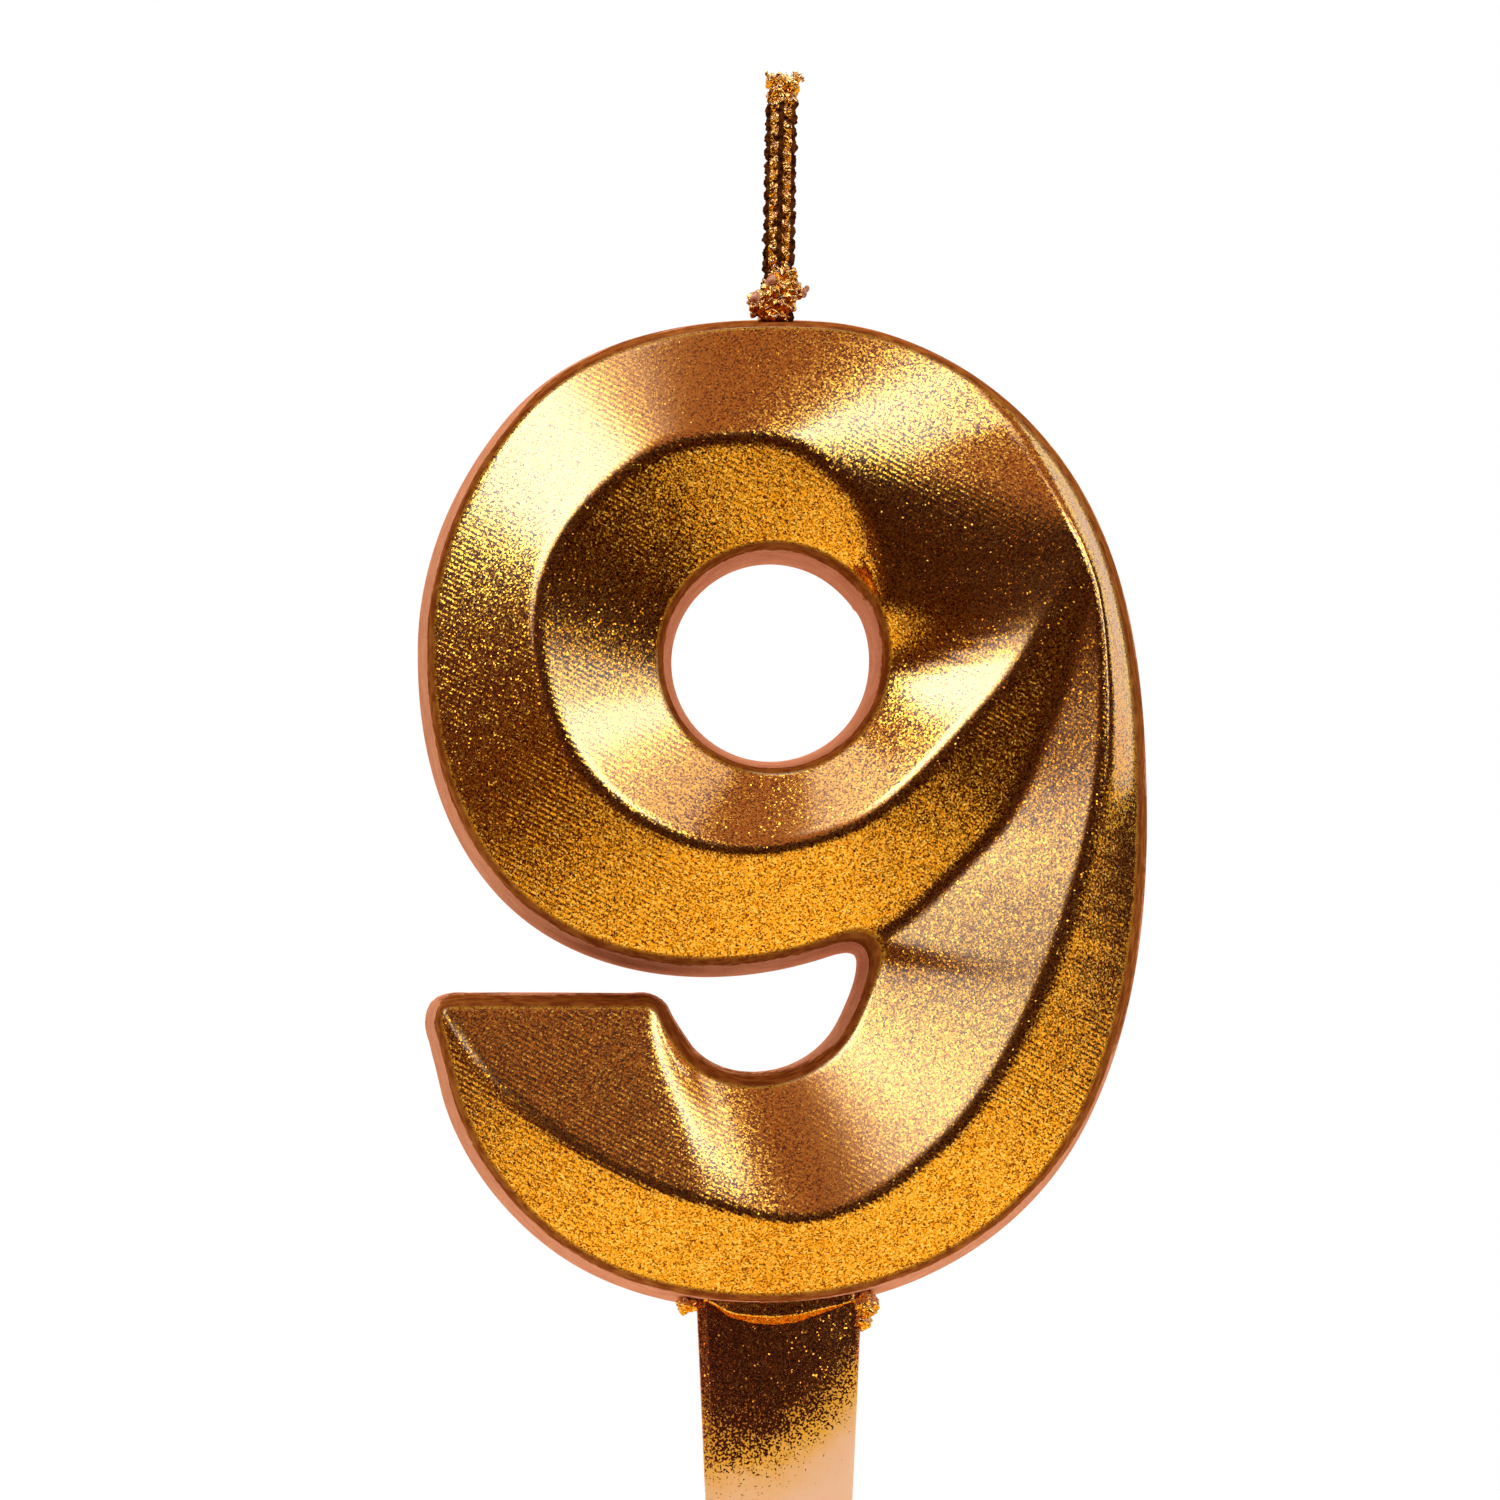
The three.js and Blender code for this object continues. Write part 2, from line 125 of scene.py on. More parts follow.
class Nodes:
    """Adds nodes to one tree and links them."""

    def __init__(self, tree: NodeTree) -> None:
        """Takes an empty or a new node tree."""
        self.tree = tree

    def add(self, kind: str, inputs: dict | None = None, **settings: object) -> Node:
        """Makes one node.

        Args:
            kind: Blender's name of the node type.
            inputs: Socket name or number to a value or to the wire that feeds it.
            settings: Properties of the node.

        Returns:
            The new node.
        """
        made = self.tree.nodes.new(kind)
        for name, setting in settings.items():
            setattr(made, name, setting)
        for key, value in (inputs or {}).items():
            self.feed(made.inputs[key], value)
        return made

    def feed(self, socket: NodeSocket, value: Value) -> None:
        """Links a wire to an input, or sets the input's value.

        Args:
            socket: The input.
            value: The wire or the value.
        """
        if isinstance(value, Wire):
            self.tree.links.new(value.socket, socket)
        else:
            socket.default_value = value

    def wire(self, kind: str, inputs: dict | None = None, output: int | str = 0, **settings: object) -> Wire:
        """Makes one node and returns one of its outputs."""
        return Wire(self, self.add(kind, inputs, **settings).outputs[output])

    def wires(self, kind: str, inputs: dict | None = None, **settings: object) -> dict[str, Wire]:
        """Makes one node and returns its outputs by name."""
        return {socket.name: Wire(self, socket) for socket in self.add(kind, inputs, **settings).outputs}

    def math(self, operation: str, *values: Value, clamp: bool = False) -> Wire:
        """Puts one or two values through a Math node."""
        return self.wire("ShaderNodeMath", dict(enumerate(values)), operation=operation, use_clamp=clamp)

    def vector(self, operation: str, *values: Value) -> Wire:
        """Puts vectors through a Vector Math node."""
        return self.wire("ShaderNodeVectorMath", dict(enumerate(values)), operation=operation)

    def span(self, value: Value, low: float, high: float, start: float = 0.0, end: float = 1.0) -> Wire:
        """Maps low..high smoothly to start..end, clamped."""
        return self.wire("ShaderNodeMapRange", {0: value, 1: low, 2: high, 3: start, 4: end},
                         interpolation_type="SMOOTHSTEP")

    def blend(self, share: Value, first: Value, second: Value) -> Wire:
        """Mixes two colours."""
        return self.wire("ShaderNodeMix", {0: share, 6: first, 7: second}, 2, data_type="RGBA")

    def noise(self, place: Value, scale: Value, detail: float, rough: float = 0.5) -> Wire:
        """Returns the value of a Noise texture, 0 to 1 about 0.5."""
        inputs = {"Vector": place, "Scale": scale, "Detail": detail, "Roughness": rough}
        return self.wire("ShaderNodeTexNoise", inputs, "Fac")

    def uneven(self, place: Value, scale: float, detail: float, size: float, rough: float = 0.5) -> Wire:
        """Returns noise about zero."""
        return (self.noise(place, scale, detail, rough) - 0.5) * size

    def group(self, tree: NodeTree, inputs: dict) -> dict[str, Wire]:
        """Uses a node group and returns its outputs by name."""
        return self.wires("ShaderNodeGroup", inputs, node_tree=tree)

    def place(self) -> Wire:
        """Returns the Object coordinates, in metres in the candle's own frame."""
        return self.wire("ShaderNodeTexCoord", output="Object")

    def attribute(self, name: str) -> Wire:
        """Returns a value that the mesh carries at its points."""
        return self.wire("ShaderNodeAttribute", output="Fac", attribute_name=name)

    def normal(self) -> Wire:
        """Returns the direction that the surface looks in."""
        return self.wire("ShaderNodeNewGeometry", output="Normal")

    def apart(self, vector: Value) -> dict[str, Wire]:
        """Returns the parts X, Y and Z of a vector."""
        return self.wires("ShaderNodeSeparateXYZ", {0: vector})

    def point(self, x: Value = 0.0, y: Value = 0.0, z: Value = 0.0) -> Wire:
        """Returns the vector of three values."""
        return self.wire("ShaderNodeCombineXYZ", {0: x, 1: y, 2: z})


def new_group(kind: str, name: str, inputs: dict[str, str | float], outputs: dict[str, str]) -> tuple:
    """Starts a node group.

    Args:
        kind: Blender's name of the kind of tree.
        name: Name of the group.
        inputs: Each input's name with its socket type, or with its default where it is a number.
        outputs: Output names and their socket types.

    Returns:
        The builder of its nodes, its inputs as wires, and the sockets of its outputs.
    """
    tree = bpy.data.node_groups.new(name, kind)
    for key, given in inputs.items():
        if isinstance(given, float):
            tree.interface.new_socket(key, in_out="INPUT", socket_type=NUMBER).default_value = given
        else:
            tree.interface.new_socket(key, in_out="INPUT", socket_type=given)
    for key, socket_type in outputs.items():
        tree.interface.new_socket(key, in_out="OUTPUT", socket_type=socket_type)
    nodes = Nodes(tree)
    return nodes, nodes.wires("NodeGroupInput"), nodes.add("NodeGroupOutput").inputs


class Finishes:
    """The shader groups that the materials of the candle share."""

    def __init__(self) -> None:
        """Builds each group once."""
        self.flakes = self._flakes()
        self.tool_marks = self._tool_marks()
        self.specks = self._specks()

    @staticmethod
    def _flakes() -> NodeTree:
        """Builds metal flakes in the paint: the way each one leans, and how brightly it shows.

        Returns:
            The group.
        """
        inputs = {"Place": VECTOR, "Flake Size": 0.10 * MM, "Lean": 0.16}
        nodes, given, out = new_group(SHADER, "paint_flakes", inputs, {"Normal": VECTOR, "Glint": NUMBER})
        cells = nodes.wire("ShaderNodeTexVoronoi", {
            "Vector": given["Place"], "Scale": 1.0 / given["Flake Size"]}, "Color", feature="F1")
        shares = nodes.wires("ShaderNodeSeparateColor", {0: cells})
        loose = nodes.math("GREATER_THAN", shares["Blue"], 0.96)
        reach = given["Lean"] * (loose * 1.2 + 1.0)
        lean = nodes.vector("MULTIPLY", nodes.vector("SUBTRACT", cells, HALVES), reach)
        nodes.feed(out["Normal"], nodes.vector("NORMALIZE", nodes.vector("ADD", nodes.normal(), lean)))
        nodes.feed(out["Glint"], shares["Red"])
        return nodes.tree

    @staticmethod
    def _tool_marks() -> NodeTree:
        """Builds the straight marks that the cutter left in the mould, deeper in some places.

        Returns:
            The group.
        """
        inputs = {"Place": VECTOR, "Spacing": 0.36 * MM, "Angle": -28.0}
        nodes, given, out = new_group(SHADER, "tool_marks", inputs, {"Height": NUMBER})
        angle = nodes.math("RADIANS", given["Angle"])
        place = nodes.apart(given["Place"])
        distance = place["Z"] * nodes.math("COSINE", angle) - place["X"] * nodes.math("SINE", angle)
        wave = nodes.math("SINE", distance / given["Spacing"] * TURN)
        wear = nodes.span(nodes.noise(given["Place"], 110.0, 2.0), 0.38, 0.62, 0.15)
        nodes.feed(out["Height"], wave * wear)
        return nodes.tree

    @staticmethod
    def _specks() -> NodeTree:
        """Builds a mask of scattered specks, more of them where the share is larger.

        Returns:
            The group.
        """
        inputs = {"Place": VECTOR, "Speck Size": 0.12 * MM, "Share": 0.1}
        nodes, given, out = new_group(SHADER, "specks", inputs, {"Mask": NUMBER})
        fine = nodes.noise(given["Place"], 1.0 / given["Speck Size"], 1.0)
        above = fine - (0.76 - given["Share"] * 0.52)
        nodes.feed(out["Mask"], nodes.math("MULTIPLY", above, 18.0, clamp=True))
        return nodes.tree


def material(name: str, kind: str = "ShaderNodeBsdfPrincipled") -> tuple[Material, Nodes, Node]:
    """Starts a material with one shader.

    Args:
        name: Name of the material.
        kind: Blender's name of the shader's node type.

    Returns:
        The material, the builder of its nodes and the shader's node.
    """
    made = bpy.data.materials.new(name)
    made.use_nodes = True
    made.node_tree.nodes.clear()
    nodes = Nodes(made.node_tree)
    shader = nodes.add(kind)
    nodes.add("ShaderNodeOutputMaterial", {"Surface": Wire(nodes, shader.outputs[0])})
    return made, nodes, shader


@dataclass(frozen=True)
class GoldPaint:
    """Sprayed gold paint over any bare surface. It has no gloss of its own where it is worn."""

    finishes: Finishes
    gold: Colour = (0.98, 0.395, 0.014, 1)
    deep_gold: Colour = (0.15, 0.03, 0.001, 1)
    # Paler gold for faces that look up: a painted highlight where the lamps above shine in
    painted_highlight_gold: Colour = (0.98, 0.55, 0.05, 1)
    sparkle: Colour = (1.0, 0.64, 0.10, 1)
    edge_tint: Colour = (0.75, 0.38, 0.12, 1)
    # Spans over which the paint turns pale and glossy by its slope, and deep or sparkling by its flake; the
    # paler gold on faces that look up is a painted highlight
    painted_highlight_slope: Span = (-0.02, 0.13)
    coat_slope: Span = (-0.2, 0.04)
    deep_flakes: Span = (0.0, 0.55)
    sparkling_flakes: Span = (0.68, 0.98)
    roughness: float = 0.14
    uneven: float = 0.14
    worn_gloss: float = 0.35
    bare_roughness: float = 0.75
    coat_roughness: float = 0.16
    coat_ior: float = 2.2

    def over(self, nodes: Nodes, shader: Node, place: Wire, cover: Wire, bare: Value,
             height: Value, worn: Value = 0.0, worn_and_shaded_colour: Value = (0, 0, 0, 1)) -> None:
        """Feeds a Principled shader.

        Args:
            nodes: Builder of the material's nodes.
            shader: The Principled node.
            place: Object coordinates.
            cover: Share of paint, 0 where the surface is bare.
            bare: Colour under the paint.
            height: Relief of the surface in metres.
            worn: Share of worn paint.
            worn_and_shaded_colour: Colour of worn paint, darkened along the numeral's rim as painted shade.
        """
        flakes = nodes.group(self.finishes.flakes, {"Place": place})
        glint = flakes["Glint"]
        up = nodes.apart(nodes.normal())["Z"]
        # Faces that look up take the paler gold, a painted highlight
        body = nodes.blend(nodes.span(up, *self.painted_highlight_slope), self.gold, self.painted_highlight_gold)
        shaded = nodes.blend(nodes.span(glint, *self.deep_flakes), self.deep_gold, body)
        painted = nodes.blend(nodes.span(glint, *self.sparkling_flakes), shaded, self.sparkle)
        gloss = (glint - 0.5) * self.uneven + (self.roughness - self.bare_roughness)
        fresh = cover * nodes.span(worn, 0.0, 1.0, 1.0, self.worn_gloss)
        sound = 1.0 - worn
        bump = nodes.wire("ShaderNodeBump", {"Height": height, "Distance": 1.0, "Strength": 1.0,
                                             "Normal": flakes["Normal"]})
        given = {
            "Base Color": nodes.blend(cover, bare, nodes.blend(worn, painted, worn_and_shaded_colour)),
            "Metallic": cover * sound,
            "Roughness": gloss * fresh + self.bare_roughness,
            "Normal": bump,
            "Specular IOR Level": 0.0,
            "Specular Tint": self.edge_tint,
            "Coat Weight": cover * (nodes.span(up, *self.coat_slope) * sound),
            "Coat Roughness": self.coat_roughness,
            "Coat IOR": self.coat_ior,
        }
        for name, value in given.items():
            nodes.feed(shader.inputs[name], value)


@dataclass(frozen=True)
class GildedWax:
    """Gold paint over the front of the wax, worn along the rim and darkened there with painted shade and a
    painted dark line of shade, and bare wax on the walls and back.
    """

    paint: GoldPaint
    wax: Colour = (0.58, 0.225, 0.11, 1)
    wax_pale: Colour = (0.74, 0.34, 0.185, 1)
    wax_speck: Colour = (0.13, 0.035, 0.012, 1)
    # Worn paint on the rim and walls, coloured darker as painted shade, and a painted dark line of shade
    # along the rim
    worn_and_shaded_rim_brown: Colour = (0.19, 0.045, 0.008, 1)
    rim_gold: Colour = (0.36, 0.12, 0.022, 1)
    painted_shade_line: Colour = (0.035, 0.008, 0.002, 1)
    paint_edge: Span = (0.42, 0.58)
    speck_share: float = 0.2
    speck_strength: float = 0.8
    mark_depth: float = 0.0045 * MM
    wave_depth: float = 0.012 * MM
    pit_depth: float = 0.004 * MM

    def build(self) -> Material:
        """Builds the material.

        Returns:
            The material.
        """
        made, nodes, shader = material("gilded_wax")
        place = nodes.place()
        finishes = self.paint.finishes
        marks = nodes.group(finishes.tool_marks, {"Place": place})["Height"]
        specks = nodes.group(finishes.specks, {"Place": place, "Share": self.speck_share})["Mask"]
        ragged = nodes.uneven(place, 2200.0, 4.0, 0.7)
        patches = nodes.uneven(place, 260.0, 3.0, 0.9, 0.6)
        cover = nodes.span(nodes.attribute("paint") + (ragged + patches), *self.paint_edge)
        wax = nodes.blend(nodes.span(nodes.noise(place, 700.0, 3.0), 0.1, 0.9), self.wax, self.wax_pale)
        mottled = nodes.blend(specks * self.speck_strength, wax, self.wax_speck)

        # Worn paint along the rim, its colour darkened as painted shade, with a painted dark line of shade
        # where the front meets the rounding
        line = nodes.attribute("line")
        worn = nodes.math("MAXIMUM", nodes.attribute("rim"), line)
        patchy = nodes.span(nodes.noise(place, 900.0, 4.0), 0.35, 0.7)
        worn_and_shaded_colour = nodes.blend(line, nodes.blend(patchy, self.worn_and_shaded_rim_brown, self.rim_gold), self.painted_shade_line)
        height = (marks * self.mark_depth * cover + nodes.noise(place, 500.0, 3.0) * self.wave_depth
                  + nodes.noise(place, 4000.0, 2.0) * self.pit_depth)
        self.paint.over(nodes, shader, place, cover, mottled, height, worn, worn_and_shaded_colour)
        return made


@dataclass(frozen=True)
class GildedLumps:
    """Gold paint over rough wax or waxed cotton that shows through where the piece says so."""

    paint: GoldPaint
    name: str
    bare: Colour
    bare_dark: Colour
    crumple: float
    crumple_scale: float
    paint_edge: Span = (0.4, 0.6)

    def build(self) -> Material:
        """Builds the material.

        Returns:
            The material.
        """
        made, nodes, shader = material(self.name)
        place = nodes.place()
        ragged = nodes.uneven(place, 3200.0, 3.0, 0.9)
        cover = nodes.span(nodes.attribute("paint") + ragged, *self.paint_edge)
        bare = nodes.blend(nodes.span(nodes.noise(place, 2400.0, 2.0), 0.35, 0.65), self.bare_dark, self.bare)
        folds = nodes.wire("ShaderNodeTexVoronoi", {"Vector": place, "Scale": self.crumple_scale}, "Distance",
                           feature="SMOOTH_F1")
        self.paint.over(nodes, shader, place, cover, bare, folds * self.crumple)
        return made


@dataclass(frozen=True)
class MistedPlastic:
    """Pale plastic of the pick, with gold paint that thins out to a mist of specks down its front."""

    paint: GoldPaint
    plastic: Colour = (0.96, 0.64, 0.40, 1)
    tinted: Colour = (0.90, 0.48, 0.05, 1)
    # Painted dark reflection: dark maroon under the paint where the flat front reflects the dark side
    painted_dark_reflection: Colour = (0.24, 0.032, 0.006, 1)
    low_x: float = -2.8 * MM
    low_z: float = 35.2 * MM
    low_width: float = 1.6 * MM
    rise: float = 85.0
    left_rise: float = 765.0
    wander: float = 4 * MM
    fade: float = 5.5 * MM
    speck_size: float = 0.16 * MM
    grain: float = 0.006 * MM
    glow_share: float = 0.15
    glow_depth: Point = (1.0 * MM, 0.4 * MM, 0.2 * MM)

    def build(self) -> Material:
        """Builds the material. The edge of the paint is lowest left of the middle.

        Returns:
            The material.
        """
        made, nodes, shader = material("misted_plastic")
        place = nodes.place()
        apart = nodes.apart(place)
        off = apart["X"] - self.low_x
        right = nodes.math("MAXIMUM", off, 0.0)
        left = nodes.math("MINIMUM", off + self.low_width, 0.0)
        bend = right * right * self.rise + left * left * self.left_rise
        above = apart["Z"] - (bend + self.low_z) + nodes.uneven(place, 420.0, 2.0, self.wander)
        share = nodes.span(above, -self.fade, self.fade * 1.1)
        inputs = {"Place": place, "Share": share, "Speck Size": self.speck_size}
        specks = nodes.group(self.paint.finishes.specks, inputs)["Mask"]
        tint = nodes.span(above, -self.fade, self.fade * 0.2)
        streaked = nodes.math("ADD", tint, nodes.uneven(place, 2600.0, 2.0, 0.7) * tint, clamp=True)
        # Where the paint is thick, the colour under it turns dark maroon as a painted dark reflection
        under = nodes.blend(nodes.span(above, 0.0, self.fade),
                            nodes.blend(streaked, self.plastic, self.tinted), self.painted_dark_reflection)
        self.paint.over(nodes, shader, place, specks, under, nodes.noise(place, 3000.0, 2.0) * self.grain)
        shader.inputs["Subsurface Weight"].default_value = self.glow_share
        shader.inputs["Subsurface Radius"].default_value = self.glow_depth
        return made


# Meshes


def in_scene(name: str, data: ID, place: Vector | tuple = (0, 0, 0), way: Vector | None = None,
             roll: float = 0.0) -> Object:
    """Puts an object into the scene.

    Args:
        name: Name of the object.
        data: Its mesh, lamp or camera.
        place: Where it stands.
        way: The direction that a lamp or camera looks in.
        roll: Its turn about that direction, in degrees.

    Returns:
        The object.
    """
    made = bpy.data.objects.new(name, data)
    bpy.context.scene.collection.objects.link(made)
    made.location = place
    if way is not None:
        turned = way.to_track_quat("-Z", "Y") @ Quaternion((0, 0, 1), math.radians(roll))
        made.rotation_euler = turned.to_euler()
    return made


def mesh_of(shape: BMesh, name: str) -> Mesh:
    """Turns a shape into a mesh and frees the shape.

    Args:
        shape: The shape.
        name: Name of the mesh.

    Returns:
        The mesh.
    """
    mesh = bpy.data.meshes.new(name)
    shape.to_mesh(mesh)
    shape.free()
    return mesh


def merged_copy(node: str) -> BMesh:
    """Copies a node's mesh and merges its doubled corners.

    Args:
        node: Name of the node.

    Returns:
        The copy.
    """
    shape = bmesh.new()
    shape.from_mesh(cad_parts[node].data)
    bmesh.ops.remove_doubles(shape, verts=shape.verts, dist=SAME_PLACE)
    shape.verts.ensure_lookup_table()
    shape.verts.index_update()
    return shape


def new_piece(name: str, mesh: Mesh, dress: Material, node: str) -> Object:
    """Puts a mesh into the scene in place of a node of the frame, smooth and with every face outwards.

    Args:
        name: Name of the piece.
        mesh: Its mesh, in metres in the candle's frame.
        dress: Its material.
        node: The node that it stands for.

    Returns:
        The new object.
    """
    shape = bmesh.new()
    shape.from_mesh(mesh)
    bmesh.ops.remove_doubles(shape, verts=shape.verts, dist=SAME_PLACE)
    bmesh.ops.recalc_face_normals(shape, faces=shape.faces)
    for face in shape.faces:
        face.smooth = True
    shape.to_mesh(mesh)
    shape.free()
    mesh.materials.clear()
    mesh.materials.append(dress)
    made = in_scene(name, mesh)
    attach(made, BODY)
    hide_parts(node)
    log.info("%s: %d faces in place of %s", name, len(mesh.polygons), node)
    return made


def evaluated(mesh: Mesh, modify: Callable[[Object], None]) -> Mesh:
    """Gives a mesh modifiers, and makes a plain mesh of their result.

    Args:
        mesh: The mesh to start from.
        modify: Adds the modifiers to the object that it is given.

    Returns:
        The new mesh.
    """
    made = in_scene("work_in_progress", mesh)
    modify(made)
    bpy.context.view_layer.update()
    result = bpy.data.meshes.new_from_object(made.evaluated_get(bpy.context.evaluated_depsgraph_get()))
    bpy.data.objects.remove(made)
    return result


def skin_over(mesh: Mesh) -> tuple[Mesh, Array, Array]:
    """Joins overlapping closed shapes into one skin. All is in millimetres.

    Args:
        mesh: The shapes.

    Returns:
        The skin, its points and their normals.
    """
    def remesh(made: Object) -> None:
        """Adds the modifier that joins the shapes.

        Args:
            made: The object of the shapes.
        """
        joined = made.modifiers.new("join", "REMESH")
        joined.mode = "VOXEL"
        joined.voxel_size = SKIN_CELL

    skin = evaluated(mesh, remesh)
    points, normals = np.empty((2, len(skin.vertices) * 3))
    skin.vertices.foreach_get("co", points)
    skin.vertex_normals.foreach_get("vector", normals)
    return skin, points.reshape(-1, 3), normals.reshape(-1, 3)


def store(mesh: Mesh, name: str, values: Array) -> None:
    """Keeps one value for each point of a mesh under a name."""
    carried = mesh.attributes.new(name, "FLOAT", "POINT")
    carried.data.foreach_set("value", np.asarray(values, dtype=np.float32))


def finish_skin(mesh: Mesh, points: Array, paint: Array) -> None:
    """Moves the points of a skin to their last places, in metres, and keeps their paint.

    Args:
        mesh: The skin.
        points: The places, in millimetres.
        paint: Share of paint at each point.
    """
    store(mesh, "paint", paint)
    mesh.vertices.foreach_set("co", (points * MM).ravel())
    mesh.update()


def smoothly(values: Array, low: float, high: float) -> Array:
    """Maps low..high to 0..1 with no kink at either end."""
    share = np.clip((values - low) / (high - low), 0, 1)
    return share * share * (3 - 2 * share)


def shifted(values: Array, down: int, across: int) -> Array:
    """Moves a raster with an empty margin by a few cells."""
    return np.roll(values, (down, across), axis=(0, 1))


class Relief:
    """Height of the front above the plane of the rim, with the soft ridges of a cast surface."""

    cell = 0.1 * MM
    margin = 15 * cell
    extra_cells = 6

    def __init__(self, tree: BVHTree, low: Vector, high: Vector, plane: float, softness: float) -> None:
        """Casts rays at the front and softens what they meet.

        Args:
            tree: The faces of the front.
            low: Lowest corner of the numeral.
            high: Highest corner of the numeral.
            plane: Y of the plane of the rim.
            softness: Radius over which a ridge is rounded.
        """
        self.low = np.array([low.x, low.z]) - self.margin
        columns, rows = (np.arange(start, end + self.margin, self.cell)
                         for start, end in zip(self.low, (high.x, high.z)))
        heights = np.full((len(rows), len(columns)), np.nan)
        for row, z in enumerate(rows):
            for column, x in enumerate(columns):
                met = tree.ray_cast(Vector((x, low.y - 1 * MM, z)), AWAY)[0]
                if met is not None:
                    heights[row, column] = plane - met.y
        self.heights = self._extended(self._softened(heights, int(round(softness / self.cell))))

    @staticmethod
    def _softened(heights: Array, reach: int) -> Array:
        """Averages over a disc in opposite pairs, so that a slope stays as it is up to the edge.

        Args:
            heights: The raster of heights.
            reach: Radius of the disc, in cells.

        Returns:
            The softened raster.
        """
        total = heights.copy()
        count = np.ones_like(heights)
        for down in range(reach + 1):
            for across in range(-reach, reach + 1):
                behind = down == 0 and across <= 0
                if behind or down * down + across * across > reach * reach:
                    continue
                pair = shifted(heights, down, across) + shifted(heights, -down, -across)
                met = np.isfinite(pair)
                total[met] += pair[met]
                count[met] += 2
        return total / count

    @staticmethod
    def _extended(heights: Array) -> Array:
        """Carries the surface on past its edge by a few cells, along its own slope.

        Args:
            heights: The raster of heights.

        Returns:
            The extended raster.
        """
        ways = [(down, across) for down in (-1, 0, 1) for across in (-1, 0, 1) if down or across]
        for _ in range(Relief.extra_cells):
            guesses = np.stack([2 * shifted(heights, down, across) - shifted(heights, 2 * down, 2 * across)
                                for down, across in ways])
            known = np.isfinite(guesses)
            counts = known.sum(axis=0)
            mean = np.where(known, guesses, 0).sum(axis=0) / np.maximum(counts, 1)
            heights = np.where(np.isnan(heights) & (counts > 0), mean, heights)
        return heights

    def at(self, points: Array) -> Array:
        """Reads the height between the cells of the raster.

        Args:
            points: Places, as x and z.

        Returns:
            The height at each place.
        """
        column, row = ((points - self.low) / self.cell).T
        left = np.clip(column.astype(int), 0, self.heights.shape[1] - 2)
        under = np.clip(row.astype(int), 0, self.heights.shape[0] - 2)
        share_x, share_z = column - left, row - under
        lower, upper = (self.heights[level, left] * (1 - share_x) + self.heights[level, left + 1] * share_x
                        for level in (under, under + 1))
        return lower * (1 - share_z) + upper * share_z


def loops_at(shape: BMesh, level: float) -> list[Array]:
    """Follows the closed lines of edges that lie at one Y.

    Args:
        shape: A merged mesh.
        level: The Y of the lines.

    Returns:
        The lines as arrays of x and z, the longest first.
    """
    beside: dict[int, list[int]] = {}
    for edge in shape.edges:
        if all(abs(v.co.y - level) < NEAR for v in edge.verts):
            first, second = (v.index for v in edge.verts)
            beside.setdefault(first, []).append(second)
            beside.setdefault(second, []).append(first)
    loops = []
    left = set(beside)
    while left:
        line = [left.pop()]
        while following := [i for i in beside[line[-1]] if i in left]:
            line.append(following[0])
            left.discard(following[0])
        loops.append(np.array([(shape.verts[i].co.x, shape.verts[i].co.z) for i in line]))
    return sorted(loops, key=len, reverse=True)


def circle_through(points: Array) -> tuple[Array, float]:
    """Fits a circle to points.

    Args:
        points: The points, as x and z.

    Returns:
        Its centre and its radius.
    """
    left = np.column_stack([2 * points, np.ones(len(points))])
    (x, z, rest), *_ = np.linalg.lstsq(left, (points**2).sum(axis=1), rcond=None)
    return np.array([x, z]), math.sqrt(rest + x * x + z * z)


def smooth_loop(line: Array, spacing: float) -> Array:
    """Passes a smooth closed curve through corners and gives it even steps, counterclockwise.

    Args:
        line: Corners of the closed line.
        spacing: Wanted length of a step.

    Returns:
        The new points.
    """
    area = np.sum(line[:, 0] * np.roll(line[:, 1], -1) - np.roll(line[:, 0], -1) * line[:, 1])
    if area < 0:
        line = line[::-1]
    onward = np.roll(line, -1, axis=0)
    length = np.linalg.norm(onward - line, axis=1)[:, None]
    direction = (onward - line) / length
    # Weighs the two directions at a corner by the other one's length, as a smooth curve turns
    turn = direction * np.roll(length, 1, axis=0) + np.roll(direction, 1, axis=0) * length
    tangent = turn / np.linalg.norm(turn, axis=1)[:, None]
    share = np.linspace(0, 1, 24, endpoint=False)[:, None]
    start, end, out, into = (
        part[:, None] for part in (line, onward, tangent * length, np.roll(tangent, -1, axis=0) * length))
    dense = (start * (2 * share**3 - 3 * share**2 + 1) + out * (share**3 - 2 * share**2 + share)
             + end * (3 * share**2 - 2 * share**3) + into * (share**3 - share**2)).reshape(-1, 2)
    steps = np.linalg.norm(np.roll(dense, -1, axis=0) - dense, axis=1)
    travelled = np.concatenate([[0], np.cumsum(steps)])
    wanted = np.linspace(0, travelled[-1], int(round(travelled[-1] / spacing)), endpoint=False)
    closed = np.vstack([dense, dense[:1]])
    return np.stack([np.interp(wanted, travelled, closed[:, k]) for k in (0, 1)], axis=1)


def outward_of(loop: Array) -> Array:
    """Finds the direction out of a closed line, which is to the right of its travel.

    Args:
        loop: The line, counterclockwise.

    Returns:
        The unit direction at each of its points.
    """
    along = np.roll(loop, -1, axis=0) - np.roll(loop, 1, axis=0)
    along /= np.linalg.norm(along, axis=1)[:, None]
    return np.stack([along[:, 1], -along[:, 0]], axis=1)


